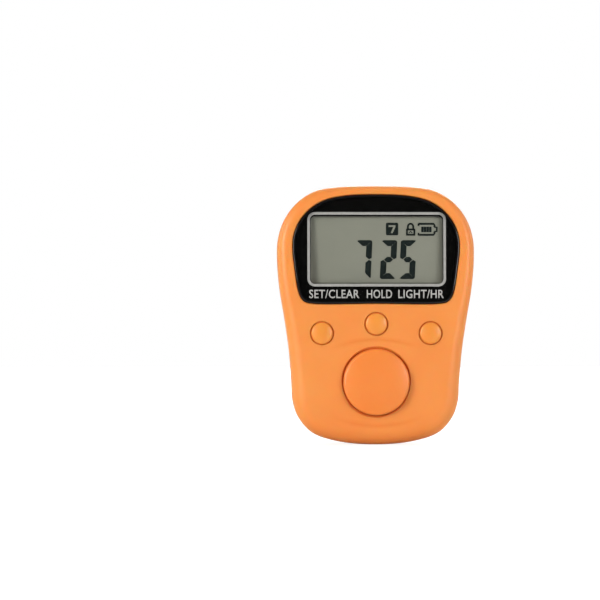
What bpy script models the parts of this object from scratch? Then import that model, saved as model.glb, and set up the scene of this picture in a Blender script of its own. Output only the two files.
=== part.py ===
"""Finger tally counter: a two-shell case with a display, four push buttons and a soft ring strap.

The case stands upright. X runs across it, Y runs from its front to its back, Z runs up. Every piece
hangs from one empty, in which y is the depth behind the front face. Lengths are in millimetres, and
MM turns them into Blender's metres when a mesh is made.
"""

import math

import bmesh
import bpy
import numpy as np
from mathutils import Matrix, Vector

MM = 0.001

# Case
SEAM_DEPTH = 4.46  # where the front shell meets the back shell
OVERALL_FRONT = -1.35  # the count button's face
OVERALL_BACK = 32.35  # the heads of the strap's pegs
WALL = 1.4
INNER_FACE = 2.1  # the flat inside of the front wall
FACE_CREST = 22.0  # height where the front face bulges most
FACE_RADIUS_ABOVE = 200.0
FACE_RADIUS_BELOW = 400.0
EDGE_RADIUS_TOP = 1.2
EDGE_RADIUS_BOTTOM = 2.6
BACK_POWER = 2.6  # superellipse exponent of the back shell's sections
LIP_HEIGHT = 0.95  # the front shell's tongue behind the seam
LIP_OUTSIDE = 0.75  # how far the tongue stands inside the outline
LIP_INSIDE = 1.3

# Half of the front outline, from the middle of the top down to the middle of the bottom: (x, z)
CASE_OUTLINE = [
    (0.0, 42.0), (6.4, 41.8), (9.8, 41.15), (12.7, 39.3), (14.8, 36.5), (15.8, 33.4), (15.95, 30.4),
    (15.6, 25.6), (14.7, 20.0), (14.0, 15.0), (13.6, 10.0), (13.4, 7.0), (12.5, 4.4), (10.3, 1.95),
    (6.0, 0.5), (0.0, 0.0),
]  # fmt: skip

# The case's back as seen from the side, from the top down: (depth, z)
BACK_PROFILE = [
    (4.46, 42.0), (7.1, 41.8), (10.2, 40.5), (13.0, 37.8), (15.0, 34.4), (16.0, 31.0), (15.2, 28.6),
    (13.2, 24.4), (12.3, 20.0), (12.3, 17.0), (13.1, 13.6), (14.6, 10.2), (15.3, 8.0), (14.6, 5.2),
    (11.6, 2.5), (8.0, 0.75), (4.46, 0.0),
]  # fmt: skip

# Display window
WINDOW_OUTLINE = [
    (0.0, 40.6), (5.3, 40.35), (8.6, 39.55), (11.0, 38.0), (12.6, 36.0), (13.4, 33.9), (13.55, 31.6),
    (13.2, 28.4), (12.75, 25.4), (12.3, 24.0), (11.6, 23.2), (10.4, 22.9), (0.0, 22.9),
]  # fmt: skip
WINDOW_LOW = 22.9
WINDOW_HIGH = 40.6
WINDOW_THICK = 0.6
WINDOW_BEVEL = 0.1
WINDOW_RECESS = 0.08
MASK_THICK = 0.1
SIGHT_CENTRE = 0.15  # the clear part of the window sits a little to one side
SIGHT_HALF_WIDTH = 10.75
SIGHT_LOW = 26.1
SIGHT_HIGH = 37.2
SIGHT_CORNER = 0.9

# Buttons: name, x, z, and the sizes of the two patterns
COUNT_PLACE = (0.0, 10.2)
SMALL_PLACES = {"reset": (-8.8, 18.1), "lock": (0.0, 19.6), "light": (8.8, 18.1)}
COUNT_SIZE = {
    "cap": 5.35, "hole": 5.55, "flange": 5.95, "collar": (6.15, 6.7), "collar_back": 3.6,
    "face": -1.35, "hollow": 4.3, "post": 1.2, "switch": 4.6, "plunger": 1.1,
}  # fmt: skip
SMALL_SIZE = {
    "cap": 1.75, "hole": 1.9, "flange": 2.25, "collar": (2.45, 2.95), "collar_back": 3.2,
    "face": -0.58, "hollow": None, "post": 0.8, "switch": 3.0, "plunger": 0.7,
}  # fmt: skip
SWITCH_BEVEL = 0.12
SWITCH_FLOOR = 0.35  # what is left of a switch behind its plunger
FLANGE_FRONT = 2.2
FLANGE_THICK = 0.6
POST_END = 3.4
PLUNGER_GAP = 0.05
PLUNGER_LENGTH = 1.15
PAD_RADIUS = 7.2
PAD_LIFT = 0.04

# Circuit board and what stands on it
BOARD_FRONT = 5.6
BOARD_BACK = 6.4
BOARD_INSET = 2.35
SWITCH_FRONT = 3.95
SOLDER_GAP = 0.05
BOARD_SCREWS = {"left": (-7.7, 4.2), "right": (7.7, 4.2)}
CASE_SCREWS = {"left": (-4.6, 21.6), "right": (4.6, 21.6)}
SCREW_SEAT = 9.0  # depth of the case screws' heads
BOSS_RADIUS = 1.6
PILOT_RADIUS = 0.8
CLEARANCE_RADIUS = 0.95
POST_RADIUS = 2.5
SINK_RADIUS = 1.75
SHANK_RADIUS = 0.72

# What stands behind the board: (low corner, high corner) as (x, z), and the height off the board
BLOB_PLACE = (1.5, 13.0)
BLOB_PROFILE = [(3.4, 0.0), (3.1, 0.4), (2.3, 0.8), (1.2, 1.05), (0.0, 1.1)]  # (radius, height)
CRYSTAL_PLACE = (8.4, 12.5)
CRYSTAL_RADIUS = 1.0
CRYSTAL_LENGTH = 6.0
CHIP = ((-9.6, 15.2), (-8.0, 18.1), 1.1)
CHIP_BEVEL = 0.08
CAPACITOR = ((-6.6, 15.6), (-5.8, 17.2), 0.8)

# Battery behind the display, with its tape and leads
BATTERY_LOW = (-9.0, 6.95, 25.2)
BATTERY_HIGH = (9.0, 10.1, 36.2)
BATTERY_BEVEL = 0.5
TAPE_LOW = (-7.5, 26.5)
TAPE_HIGH = (7.5, 35.0)
TAPE_BACK = 6.9
LEAD_RADIUS = 0.35
LEAD_OFFSET = 0.9
LEAD_ROUTE = [(8.6, 25.0), (8.7, 24.2), (8.4, 23.3), (7.7, 22.7), (7.0, 22.4), (6.5, 22.3)]  # (depth, z)

# Display stack, one layer behind the other: (front, back) depths
FRONT_FILM = (2.18, 2.30)
FRONT_GLASS = (2.33, 2.83)
REAR_GLASS = (2.86, 3.36)
REAR_FILM = (3.39, 3.51)
LIGHT_GUIDE = (3.56, 4.5)
LAMP = (3.66, 4.4)
LAMP_HEIGHTS = (30.2, 33.2)
LAMP_BEVEL = 0.1
CONNECTOR = (2.88, 5.55)
CONNECTOR_HALF_WIDTH = 10.0
FRAME_DEPTHS = (2.2, 5.5)
FRAME_INSET = 1.75
FILM_MARGIN = 0.3
GLASS_HALF_WIDTH = 11.4
GLASS_LOW = 24.4
GLASS_HIGH = 37.9
LEDGE_HEIGHT = 1.9  # the strip of front glass that the connector presses on
FRAME_LOW = 23.8

# Charging port, on the -X side
PORT_DEPTH = 4.25
PORT_HEIGHT = 10.45
PORT_SIZE = (2.7, 8.15)
PORT_CHAMFER = (0.95, 1.05)
PORT_MOUTH = -13.3
PORT_END = -8.2
PORT_GAP = 0.12
PORT_METAL = 0.22
PORT_NICK = 0.25  # the small cuts on the two front corners
TONGUE_TIP = -12.4
TONGUE_HALF_WIDTH = 1.95
CONTACT_PITCH = 0.65
CONTACT_COUNT = 5

# Ring strap, two tails that button together behind the finger: (depth, z) along each middle
STRAP_WIDTH = 9.0
STRAP_THICK = 1.7
STRAP_STEP = 1.78  # from the middle of one tail to the middle of the other where they lap
HOLE_TAIL = [
    (12.6, 30.6), (16.0, 31.0), (19.5, 31.55), (22.0, 31.3), (24.2, 30.4), (26.2, 28.7), (27.8, 26.5),
    (29.1, 23.9), (30.0, 21.2), (30.55, 18.2), (30.7, 15.0), (30.5, 12.2), (30.0, 9.5),
]  # fmt: skip
PEG_TAIL_LOW = [(11.8, 7.8), (16.2, 7.15), (20.3, 6.05), (23.2, 6.5), (25.2, 7.6), (27.1, 9.3)]
HOLE_TAIL_HINGE = (15.4, 31.0)
PEG_TAIL_HINGE = (15.2, 7.35)
TAIL_CORNER = 0.35
TAIL_BAR_RADIUS = 1.25
UPPER_SLOT_HEIGHT = 31.0
LOWER_SLOT_HEIGHT = 7.4
SLOT_HALF_HEIGHT = 1.2
HOLE_PITCH = 5.2
END_TO_HOLE = 3.2
HOLE_COUNT = 6
BUTTONED = 4  # holes with a peg in them
FREE_PEG_STEP = 4.9  # from the first buttoned peg down to the loose one
HOLE_RADIUS = 1.3
NECK_RADIUS = 1.05
HEAD_RADIUS = 1.8
HEAD_THICK = 0.75

# Fineness of the faceted surfaces
SHARP_ANGLE = 35.0  # degrees between faces that meet in an edge
HALF_STEPS = 33
SECTION_STEPS = 14
EDGE_STEPS = 4
CORNER_STEPS = 5


# ---------------------------------------------------------------- scene, materials, plain meshes


def clear_scene():
    for obj in list(bpy.data.objects):
        bpy.data.objects.remove(obj, do_unlink=True)


def new_collection(name):
    made = bpy.data.collections.new(name)
    bpy.context.scene.collection.children.link(made)
    return made


clear_scene()
PARTS = new_collection("tally_counter")
CUTTERS = new_collection("cutters")

ORIGIN = bpy.data.objects.new("case_origin", None)
ORIGIN.empty_display_size = 10 * MM
ORIGIN.location = (0.0, -MM * (OVERALL_FRONT + OVERALL_BACK) / 2, 0.0)
PARTS.objects.link(ORIGIN)


def material(name, colour, roughness, metallic=0.0, alpha=1.0):
    made = bpy.data.materials.get(name) or bpy.data.materials.new(name)
    made.use_nodes = True
    shader = made.node_tree.nodes["Principled BSDF"]
    shader.inputs["Base Color"].default_value = (*colour, 1.0)
    shader.inputs["Roughness"].default_value = roughness
    shader.inputs["Metallic"].default_value = metallic
    shader.inputs["Alpha"].default_value = alpha
    made.diffuse_color = (*colour, alpha)
    return made


ORANGE = material("orange_plastic", (0.90, 0.32, 0.09), 0.45)
ORANGE_SOFT = material("orange_rubber", (0.90, 0.36, 0.08), 0.6)
CLEAR = material("clear_window", (0.05, 0.05, 0.05), 0.08, alpha=0.35)
BLACK = material("black_print", (0.01, 0.01, 0.01), 0.3)
LCD_GREY = material("lcd_grey", (0.23, 0.24, 0.19), 0.4)
WHITE = material("white_plastic", (0.80, 0.80, 0.78), 0.5)
DARK_RUBBER = material("connector_rubber", (0.20, 0.22, 0.25), 0.7)
BOARD_GREEN = material("board_green", (0.02, 0.16, 0.06), 0.4)
CERAMIC = material("capacitor", (0.4, 0.27, 0.16), 0.5)
EPOXY = material("black_epoxy", (0.015, 0.015, 0.015), 0.35)
STEEL = material("plated_steel", (0.62, 0.62, 0.60), 0.3, 1.0)
GOLD = material("gilt_contact", (0.83, 0.62, 0.25), 0.3, 1.0)
FOIL = material("battery_foil", (0.55, 0.57, 0.60), 0.35, 1.0)
FOAM = material("foam_tape", (0.12, 0.12, 0.12), 0.95)
RED_WIRE = material("red_wire", (0.60, 0.02, 0.02), 0.5)
BLACK_WIRE = material("black_wire", (0.02, 0.02, 0.02), 0.5)


def shade(mesh):
    mesh.shade_smooth()
    mesh.set_sharp_from_angle(angle=math.radians(SHARP_ANGLE))


def place(obj, look=None):
    """Puts a finished object with the parts, or with the cutters when it has no material."""
    obj.parent = ORIGIN
    if look is None:
        CUTTERS.objects.link(obj)
        obj.hide_render = True
        obj.display_type = "WIRE"
    else:
        PARTS.objects.link(obj)
        obj.data.materials.append(look)
    return obj


def mesh_object(name, bm, look=None, origin=(0.0, 0.0, 0.0)):
    """Turns a bmesh in millimetres into a placed object whose own origin is at the point given."""
    bmesh.ops.translate(bm, verts=bm.verts, vec=-Vector(origin))
    bmesh.ops.scale(bm, verts=bm.verts, vec=(MM, MM, MM))
    bmesh.ops.recalc_face_normals(bm, faces=bm.faces)
    mesh = bpy.data.meshes.new(name)
    bm.to_mesh(mesh)
    bm.free()
    shade(mesh)
    obj = bpy.data.objects.new(name, mesh)
    obj.location = Vector(origin) * MM
    return place(obj, look)


def box(name, low, high, look=None, bevel=0.0):
    bm = bmesh.new()
    middle = [(a + b) / 2 for a, b in zip(low, high)]
    size = [b - a for a, b in zip(low, high)]
    bmesh.ops.create_cube(bm, size=1.0)
    bmesh.ops.scale(bm, verts=bm.verts, vec=size)
    bmesh.ops.translate(bm, verts=bm.verts, vec=middle)
    if bevel:
        bmesh.ops.bevel(bm, geom=bm.edges, offset=bevel, segments=2, affect="EDGES", profile=0.5)
    return mesh_object(name, bm, look)


def cylinder(name, radius, front, back, centre, look=None, segments=24):
    """A cylinder along the depth, between two depths, about (x, z). Its origin is on its own axis."""
    bm = bmesh.new()
    bmesh.ops.create_cone(
        bm, cap_ends=True, segments=segments, radius1=radius, radius2=radius, depth=back - front
    )
    bmesh.ops.rotate(bm, verts=bm.verts, matrix=Matrix.Rotation(math.pi / 2, 3, "X"))
    bmesh.ops.translate(bm, verts=bm.verts, vec=(centre[0], (front + back) / 2, centre[1]))
    return mesh_object(name, bm, look, (centre[0], 0.0, centre[1]))


def prism(name, outline, front, back, look=None):
    """A flat outline of (x, z) points, given thickness between two depths."""
    bm = bmesh.new()
    face = bm.faces.new([bm.verts.new((x, front, z)) for x, z in outline])
    made = bmesh.ops.extrude_face_region(bm, geom=[face])
    moved = [item for item in made["geom"] if isinstance(item, bmesh.types.BMVert)]
    bmesh.ops.translate(bm, verts=moved, vec=(0.0, back - front, 0.0))
    return mesh_object(name, bm, look)


def turned(name, profile, centre, look, steps):
    """Turns a profile of (radius, depth) points about a line along the depth through (x, z)."""
    mesh = bpy.data.meshes.new(name)
    points = [(radius * MM, 0.0, -depth * MM) for radius, depth in profile]
    mesh.from_pydata(points, [(i, i + 1) for i in range(len(points) - 1)], [])
    obj = bpy.data.objects.new(name, mesh)
    obj.location = (centre[0] * MM, 0.0, centre[1] * MM)
    obj.rotation_euler = (math.pi / 2, 0.0, 0.0)
    place(obj, look)
    screw = obj.modifiers.new("turn", "SCREW")
    screw.steps = steps
    screw.render_steps = steps
    screw.use_merge_vertices = True
    screw.merge_threshold = 1e-6
    screw.use_smooth_shade = True
    return obj


def boolean(obj, other, operation="DIFFERENCE"):
    modifier = obj.modifiers.new(f"{operation.lower()}_{other.name}", "BOOLEAN")
    modifier.operation = operation
    modifier.solver = "EXACT"
    modifier.object = other
    return obj


def smooth_edges(obj, width, segments):
    modifier = obj.modifiers.new("round", "BEVEL")
    modifier.width = width * MM
    modifier.segments = segments
    modifier.limit_method = "ANGLE"
    modifier.angle_limit = math.radians(SHARP_ANGLE)
    return obj


# ---------------------------------------------------------------- curves and outlines


def spline(points, spans=10):
    """A smooth curve through the points, with about the same number of steps in every span."""
    p = np.array(points, float)
    p = np.vstack([2 * p[0] - p[1], p, 2 * p[-1] - p[-2]])
    knots = np.concatenate([[0.0], np.cumsum(np.sqrt(np.linalg.norm(np.diff(p, axis=0), axis=1)))])
    out = []
    for i in range(1, len(p) - 2):
        for step in range(spans):
            t = knots[i] + (knots[i + 1] - knots[i]) * step / spans
            a = [blend(p[i + k - 1], p[i + k], knots[i + k - 1], knots[i + k], t) for k in range(3)]
            b = [blend(a[k], a[k + 1], knots[i + k - 1], knots[i + k + 1], t) for k in range(2)]
            out.append(blend(b[0], b[1], knots[i], knots[i + 1], t))
    return np.array(out + [p[-2]])


def blend(first, last, start, end, t):
    return first + (last - first) * (t - start) / (end - start)


def lengths(curve):
    return np.concatenate([[0.0], np.cumsum(np.linalg.norm(np.diff(curve, axis=0), axis=1))])


def evenly(curve, count):
    """The curve again, with its points the same distance apart."""
    along = lengths(curve)
    wanted = np.linspace(0.0, along[-1], count)
    return np.column_stack([np.interp(wanted, along, curve[:, k]) for k in range(2)])


def closed_loop(half_points, count):
    """A smooth half outline from top to bottom, mirrored into a whole one; both ends lie at x = 0."""
    mirrored = [(-half_points[1][0], half_points[1][1]), *half_points]
    mirrored.append((-half_points[-2][0], half_points[-2][1]))
    whole = spline(mirrored, 12)[12:-12]
    half = evenly(whole, count)
    half[0, 0] = half[-1, 0] = 0.0
    other = half[-2:0:-1] * np.array([-1.0, 1.0])
    return np.vstack([half, other])


def inset(loop, amount):
    """Moves a closed loop of (x, z) points inwards; the amount may differ from point to point."""
    tangent = np.roll(loop, -1, axis=0) - np.roll(loop, 1, axis=0)
    tangent /= np.linalg.norm(tangent, axis=1)[:, None]
    inward = np.column_stack([tangent[:, 1], -tangent[:, 0]])
    return loop + inward * np.reshape(np.broadcast_to(amount, len(loop)), (-1, 1))


def rounded_rectangle(half_width, low, high, corner, centre):
    points = []
    for turn, (sx, z) in enumerate(((1, high), (1, low), (-1, low), (-1, high))):
        cx = centre + sx * (half_width - corner)
        cz = z - corner if z == high else z + corner
        for step in range(CORNER_STEPS + 1):
            angle = math.pi / 2 * (1 - turn - step / CORNER_STEPS)
            points.append((cx + corner * math.cos(angle), cz + corner * math.sin(angle)))
    return points


CASE_LOOP = closed_loop(CASE_OUTLINE, HALF_STEPS)
BACK_CURVE = spline(BACK_PROFILE)


def face_depth(z):
    """Depth of the front face, which bulges gently towards the user."""
    radius = np.where(z > FACE_CREST, FACE_RADIUS_ABOVE, FACE_RADIUS_BELOW)
    return (z - FACE_CREST) ** 2 / (2 * radius)


def edge_radius(z):
    return EDGE_RADIUS_BOTTOM + (EDGE_RADIUS_TOP - EDGE_RADIUS_BOTTOM) * np.clip(z / 38.0, 0.0, 1.0)


def back_depth(z):
    """Depth of the case's back at a height, on its middle line."""
    return np.interp(-z, -BACK_CURVE[:, 1], BACK_CURVE[:, 0])


def bridge(bm, rings):
    """Joins rings of the same number of vertices by quads."""
    for a, b in zip(rings, rings[1:]):
        for i in range(len(a)):
            j = (i + 1) % len(a)
            corners = [a[i], a[j], b[j], b[i]]
            kept = [v for k, v in enumerate(corners) if v is not corners[k - 1]]
            if len(kept) > 2:
                bm.faces.new(kept)


def close_across(bm, ring):
    """Closes a mirrored ring by strips that run straight across it."""
    n = len(ring)
    for i in range(n // 2):
        corners = [ring[i], ring[i + 1], ring[(n - i - 1) % n], ring[(n - i) % n]]
        bm.faces.new(list(dict.fromkeys(corners)))


def ring_of(bm, loop, depth):
    depths = np.broadcast_to(depth, len(loop))
    return [bm.verts.new((x, d, z)) for (x, z), d in zip(loop, depths)]


# ---------------------------------------------------------------- case


def front_body(name, loop_inset, floor, back, look=None):
    """A closed form with the front shell's outline; floor is a flat face depth, or None for the bulged one."""
    bm = bmesh.new()
    loop = inset(CASE_LOOP, loop_inset)
    heights = CASE_LOOP[:, 1]
    radius = np.maximum(edge_radius(heights) - loop_inset, 0.6)
    rings = [ring_of(bm, loop, back)]
    for step in range(EDGE_STEPS + 1):
        angle = math.pi / 2 * step / EDGE_STEPS
        ring = inset(loop, radius * (1 - math.cos(angle)))
        face = face_depth(ring[:, 1]) if floor is None else floor
        rings.append(ring_of(bm, ring, face + radius * (1 - math.sin(angle))))
    bridge(bm, rings)
    close_across(bm, rings[-1])
    close_across(bm, rings[0])
    return mesh_object(name, bm, look)


def back_body(name, loop_inset, skin, front, look=None):
    """A closed form with the back shell's shape, made of superellipse sections stacked in height."""
    bm = bmesh.new()
    loop = inset(CASE_LOOP, loop_inset)[:HALF_STEPS]
    rings = []
    for half_width, z in loop:
        reach = max(float(back_depth(z)) - skin - front, 0.0)
        if half_width < 0.01:
            rings.append([bm.verts.new((0.0, front, z))] * (SECTION_STEPS + 1))
            continue
        ring = []
        for step in range(SECTION_STEPS + 1):
            angle = math.pi * step / SECTION_STEPS
            c, s = math.cos(angle), math.sin(angle)
            x = math.copysign(abs(c) ** (2 / BACK_POWER), c) * half_width
            ring.append(bm.verts.new((x, front + reach * max(s, 0.0) ** (2 / BACK_POWER), z)))
        rings.append(ring)
    bridge(bm, rings)
    return mesh_object(name, bm, look)


def port_outline(grow):
    """The charging port's outline in (depth, z), with its two back corners cut off."""
    half_d = PORT_SIZE[0] / 2 + grow
    half_z = PORT_SIZE[1] / 2 + grow
    cut_d, cut_z = PORT_CHAMFER
    front_corner = [(-half_d, half_z - PORT_NICK), (-half_d + PORT_NICK, half_z)]
    half = front_corner + [(half_d - cut_d, half_z), (half_d, half_z - cut_z)]
    return [(d, z) for d, z in half] + [(d, -z) for d, z in reversed(half)]


def port_prism(name, grow, start, end, look=None):
    bm = bmesh.new()
    corners = [(start, PORT_DEPTH + d, PORT_HEIGHT + z) for d, z in port_outline(grow)]
    face = bm.faces.new([bm.verts.new(corner) for corner in corners])
    made = bmesh.ops.extrude_face_region(bm, geom=[face])
    moved = [item for item in made["geom"] if isinstance(item, bmesh.types.BMVert)]
    bmesh.ops.translate(bm, verts=moved, vec=(end - start, 0.0, 0.0))
    return mesh_object(name, bm, look)


def window_tilt():
    """Angle and middle depth of the flat window, which lies along the bulged face's chord."""
    low, high = float(face_depth(WINDOW_LOW)), float(face_depth(WINDOW_HIGH))
    return math.atan2(high - low, WINDOW_HIGH - WINDOW_LOW), (low + high) / 2 + WINDOW_RECESS


def tilt(obj):
    """Leans a prism drawn about depth 0 back to the window's plane."""
    angle, depth = window_tilt()
    pivot = Vector((0.0, 0.0, (WINDOW_LOW + WINDOW_HIGH) / 2)) * MM
    turn = Matrix.Rotation(-angle, 4, "X")
    move = Matrix.Translation(Vector((0.0, depth * MM, 0.0)))
    obj.data.transform(move @ Matrix.Translation(pivot) @ turn @ Matrix.Translation(-pivot))
    return obj


def window_loop(amount):
    return [tuple(point) for point in inset(closed_loop(WINDOW_OUTLINE, 28), amount)]


def sight(grow):
    return rounded_rectangle(
        SIGHT_HALF_WIDTH + grow, SIGHT_LOW - grow, SIGHT_HIGH + grow, SIGHT_CORNER + grow, SIGHT_CENTRE
    )


def pad_disc():
    """The flat round pad about the count button, laid along the face at the button's height."""
    bm = bmesh.new()
    bmesh.ops.create_cone(
        bm, cap_ends=True, segments=64, radius1=PAD_RADIUS, radius2=PAD_RADIUS - 0.06, depth=1.0
    )
    x, z = COUNT_PLACE
    slope = math.atan((z - FACE_CREST) / FACE_RADIUS_BELOW)
    middle = float(face_depth(z)) - PAD_LIFT + 0.5
    bmesh.ops.rotate(bm, verts=bm.verts, matrix=Matrix.Rotation(math.pi / 2 - slope, 3, "X"))
    bmesh.ops.translate(bm, verts=bm.verts, vec=(x, middle, z))
    return mesh_object("pad_adder", bm)


def screw_places():
    """Name and place of all four screws."""
    both = (("board", BOARD_SCREWS), ("case", CASE_SCREWS))
    return [(f"{kind}_screw_{side}", at) for kind, places in both for side, at in places.items()]


def make_front_shell():
    shell = front_body("front_shell", 0.0, None, SEAM_DEPTH, ORANGE)
    boolean(shell, front_body("front_cavity", WALL, INNER_FACE, SEAM_DEPTH + 2.0))
    boolean(shell, pad_disc(), "UNION")
    lip = front_body("lip_adder", LIP_OUTSIDE, SEAM_DEPTH - 1.0, SEAM_DEPTH + LIP_HEIGHT)
    boolean(lip, front_body("lip_bore", LIP_INSIDE, SEAM_DEPTH - 3.0, SEAM_DEPTH + 3.0))
    boolean(shell, lip, "UNION")
    for name, (x, z) in [("count", COUNT_PLACE), *SMALL_PLACES.items()]:
        size = COUNT_SIZE if name == "count" else SMALL_SIZE
        outside = size["collar"][1]
        collar = cylinder(f"{name}_collar", outside, INNER_FACE - 0.4, size["collar_back"], (x, z))
        boolean(shell, collar, "UNION")
    for name, place_at in BOARD_SCREWS.items():
        boss = cylinder(f"board_boss_{name}", BOSS_RADIUS, 1.6, BOARD_FRONT - SOLDER_GAP, place_at)
        boolean(shell, boss, "UNION")
    for name, place_at in CASE_SCREWS.items():
        boss = cylinder(f"case_boss_{name}", BOSS_RADIUS, 1.6, BOARD_FRONT - SOLDER_GAP, place_at)
        boolean(shell, boss, "UNION")
    for name, (x, z) in [("count", COUNT_PLACE), *SMALL_PLACES.items()]:
        size = COUNT_SIZE if name == "count" else SMALL_SIZE
        steps = 48 if name == "count" else 24
        boolean(shell, cylinder(f"{name}_hole", size["hole"], -2.0, 5.0, (x, z), segments=steps))
        boolean(shell, cylinder(f"{name}_bore", size["collar"][0], INNER_FACE, 5.0, (x, z)))
    for name, place_at in screw_places():
        boolean(shell, cylinder(f"{name}_pilot", PILOT_RADIUS, 2.5, 7.0, place_at))
    floor = WINDOW_THICK + MASK_THICK + 0.06
    boolean(shell, tilt(prism("window_pocket", window_loop(-0.08), -3.0, floor)))
    boolean(shell, prism("sight_hole", sight(0.5), 0.0, 4.0))
    boolean(shell, port_prism("port_notch_front", 0.0, -17.0, PORT_END - 0.3))
    return shell


def strap_slot(name, z):
    half = STRAP_WIDTH / 2 + 0.25
    return box(name, (-half, 10.5, z - SLOT_HALF_HEIGHT), (half, 19.0, z + SLOT_HALF_HEIGHT))


def make_back_shell():
    shell = back_body("back_shell", 0.0, 0.0, SEAM_DEPTH + 0.04, ORANGE)
    boolean(shell, back_body("back_cavity", WALL, WALL + 0.1, SEAM_DEPTH - 0.5))
    lip_back = SEAM_DEPTH + LIP_HEIGHT + 0.1
    boolean(shell, front_body("lip_rebate", LIP_OUTSIDE - 0.1, SEAM_DEPTH - 4.0, lip_back))
    for name, place_at in CASE_SCREWS.items():
        post = cylinder(f"case_post_{name}", POST_RADIUS, BOARD_BACK + SOLDER_GAP, 11.6, place_at)
        boolean(shell, post, "UNION")
        boolean(shell, cylinder(f"case_clearance_{name}", CLEARANCE_RADIUS, 5.0, 11.0, place_at))
        boolean(shell, cylinder(f"case_sink_{name}", SINK_RADIUS, SCREW_SEAT, 14.0, place_at))
    boolean(shell, strap_slot("upper_slot", UPPER_SLOT_HEIGHT))
    boolean(shell, strap_slot("lower_slot", LOWER_SLOT_HEIGHT))
    boolean(shell, port_prism("port_notch_back", 0.0, -17.0, PORT_END - 0.3))
    return shell


# ---------------------------------------------------------------- display


def make_window():
    window = tilt(prism("display_window", window_loop(0.0), 0.0, WINDOW_THICK, CLEAR))
    smooth_edges(window, WINDOW_BEVEL, 2)
    back = WINDOW_THICK + 0.03
    mask = tilt(prism("window_mask", window_loop(0.15), back, back + MASK_THICK, BLACK))
    boolean(mask, prism("mask_sight", sight(0.0), -1.0, 4.0))


def clipped_outline(amount, low):
    """The case outline moved inwards, cut off straight below a height."""
    loop = inset(CASE_LOOP, amount)
    kept = [(x, z) for x, z in loop if z > low]
    half_width = float(np.interp(-low, -loop[:HALF_STEPS, 1], loop[:HALF_STEPS, 0]))
    right = [point for point in kept if point[0] >= 0]
    left = [point for point in kept if point[0] < 0]
    return right + [(half_width, low), (-half_width, low)] + left


def layer(name, depths, low, high, look=None, bevel=0.0):
    """A box between two depths and two (x, z) corners."""
    front, back = depths
    return box(name, (low[0], front, low[1]), (high[0], back, high[1]), look, bevel)


def make_display():
    wide, low, high = GLASS_HALF_WIDTH, GLASS_LOW, GLASS_HIGH
    raised = low + LEDGE_HEIGHT
    film, strip = wide - FILM_MARGIN, CONNECTOR_HALF_WIDTH
    layer("lcd_front_polariser", FRONT_FILM, (-film, raised), (film, high - FILM_MARGIN), LCD_GREY)
    layer("lcd_front_glass", FRONT_GLASS, (-wide, low), (wide, high), LCD_GREY)
    layer("lcd_rear_glass", REAR_GLASS, (-wide, raised), (wide, high), LCD_GREY)
    layer("lcd_rear_polariser", REAR_FILM, (-film, raised + 0.2), (film, high - FILM_MARGIN), FOIL)
    layer("backlight_guide", LIGHT_GUIDE, (-wide + 0.4, raised + 0.2), (wide - 1.6, high - 0.2), WHITE)
    led_low, led_high = LAMP_HEIGHTS
    layer("backlight_led", LAMP, (wide - 1.5, led_low), (wide - 0.4, led_high), WHITE, LAMP_BEVEL)
    layer("zebra_connector", CONNECTOR, (-strip, low + 0.25), (strip, raised - 0.35), DARK_RUBBER)
    frame = prism("lcd_frame", clipped_outline(FRAME_INSET, FRAME_LOW), *FRAME_DEPTHS, WHITE)
    glass_back, guide_back = REAR_FILM[1] + 0.03, LIGHT_GUIDE[1] + 0.1
    boolean(frame, layer("glass_pocket", (1.0, glass_back), (-wide - 0.1, low - 0.1), (wide + 0.1, high + 0.1)))
    boolean(frame, layer("light_pocket", (3.0, guide_back), (-film, raised + 0.1), (film, high - 0.1)))
    slot = strip + 0.15
    boolean(frame, layer("connector_slot", (3.0, 7.0), (-slot, low + 0.1), (slot, raised - 0.2)))
    boolean(frame, layer("frame_relief", (4.0, 7.0), (-8.0, 28.0), (8.0, 36.0)))


# ---------------------------------------------------------------- board


def make_board():
    outline = [tuple(point) for point in inset(CASE_LOOP, BOARD_INSET)]
    board = prism("circuit_board", outline, BOARD_FRONT, BOARD_BACK, BOARD_GREEN)
    for name, place_at in screw_places():
        boolean(board, cylinder(f"{name}_board_hole", CLEARANCE_RADIUS, 5.0, 7.0, place_at))
    back = BOARD_BACK + SOLDER_GAP
    dome = [(0.0, back)] + [(radius, back + height) for radius, height in BLOB_PROFILE]
    turned("controller_blob", dome, BLOB_PLACE, EPOXY, 24)
    bm = bmesh.new()
    radius = CRYSTAL_RADIUS
    bmesh.ops.create_cone(
        bm, cap_ends=True, segments=24, radius1=radius, radius2=radius, depth=CRYSTAL_LENGTH
    )
    x, z = CRYSTAL_PLACE
    bmesh.ops.translate(bm, verts=bm.verts, vec=(x, back + radius, z))
    mesh_object("crystal_can", bm, STEEL)
    low, high, tall = CHIP
    layer("charge_chip", (back, back + tall), low, high, EPOXY, CHIP_BEVEL)
    low, high, tall = CAPACITOR
    layer("supply_capacitor", (back, back + tall), low, high, CERAMIC)


def make_battery():
    battery = box("battery_cell", BATTERY_LOW, BATTERY_HIGH, FOIL)
    smooth_edges(battery, BATTERY_BEVEL, 3)
    layer("battery_pad", (BOARD_BACK + SOLDER_GAP, TAPE_BACK), TAPE_LOW, TAPE_HIGH, FOAM)
    for name, x, look in (("red", -LEAD_OFFSET, RED_WIRE), ("black", LEAD_OFFSET, BLACK_WIRE)):
        lead = bpy.data.curves.new(f"battery_lead_{name}", "CURVE")
        lead.dimensions = "3D"
        lead.bevel_depth = LEAD_RADIUS * MM
        lead.bevel_resolution = 2
        lead.use_fill_caps = True
        path = lead.splines.new("POLY")
        path.points.add(len(LEAD_ROUTE) - 1)
        for point, (depth, z) in zip(path.points, LEAD_ROUTE):
            point.co = (x * MM, depth * MM, z * MM, 1.0)
        place(bpy.data.objects.new(lead.name, lead), look)


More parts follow.
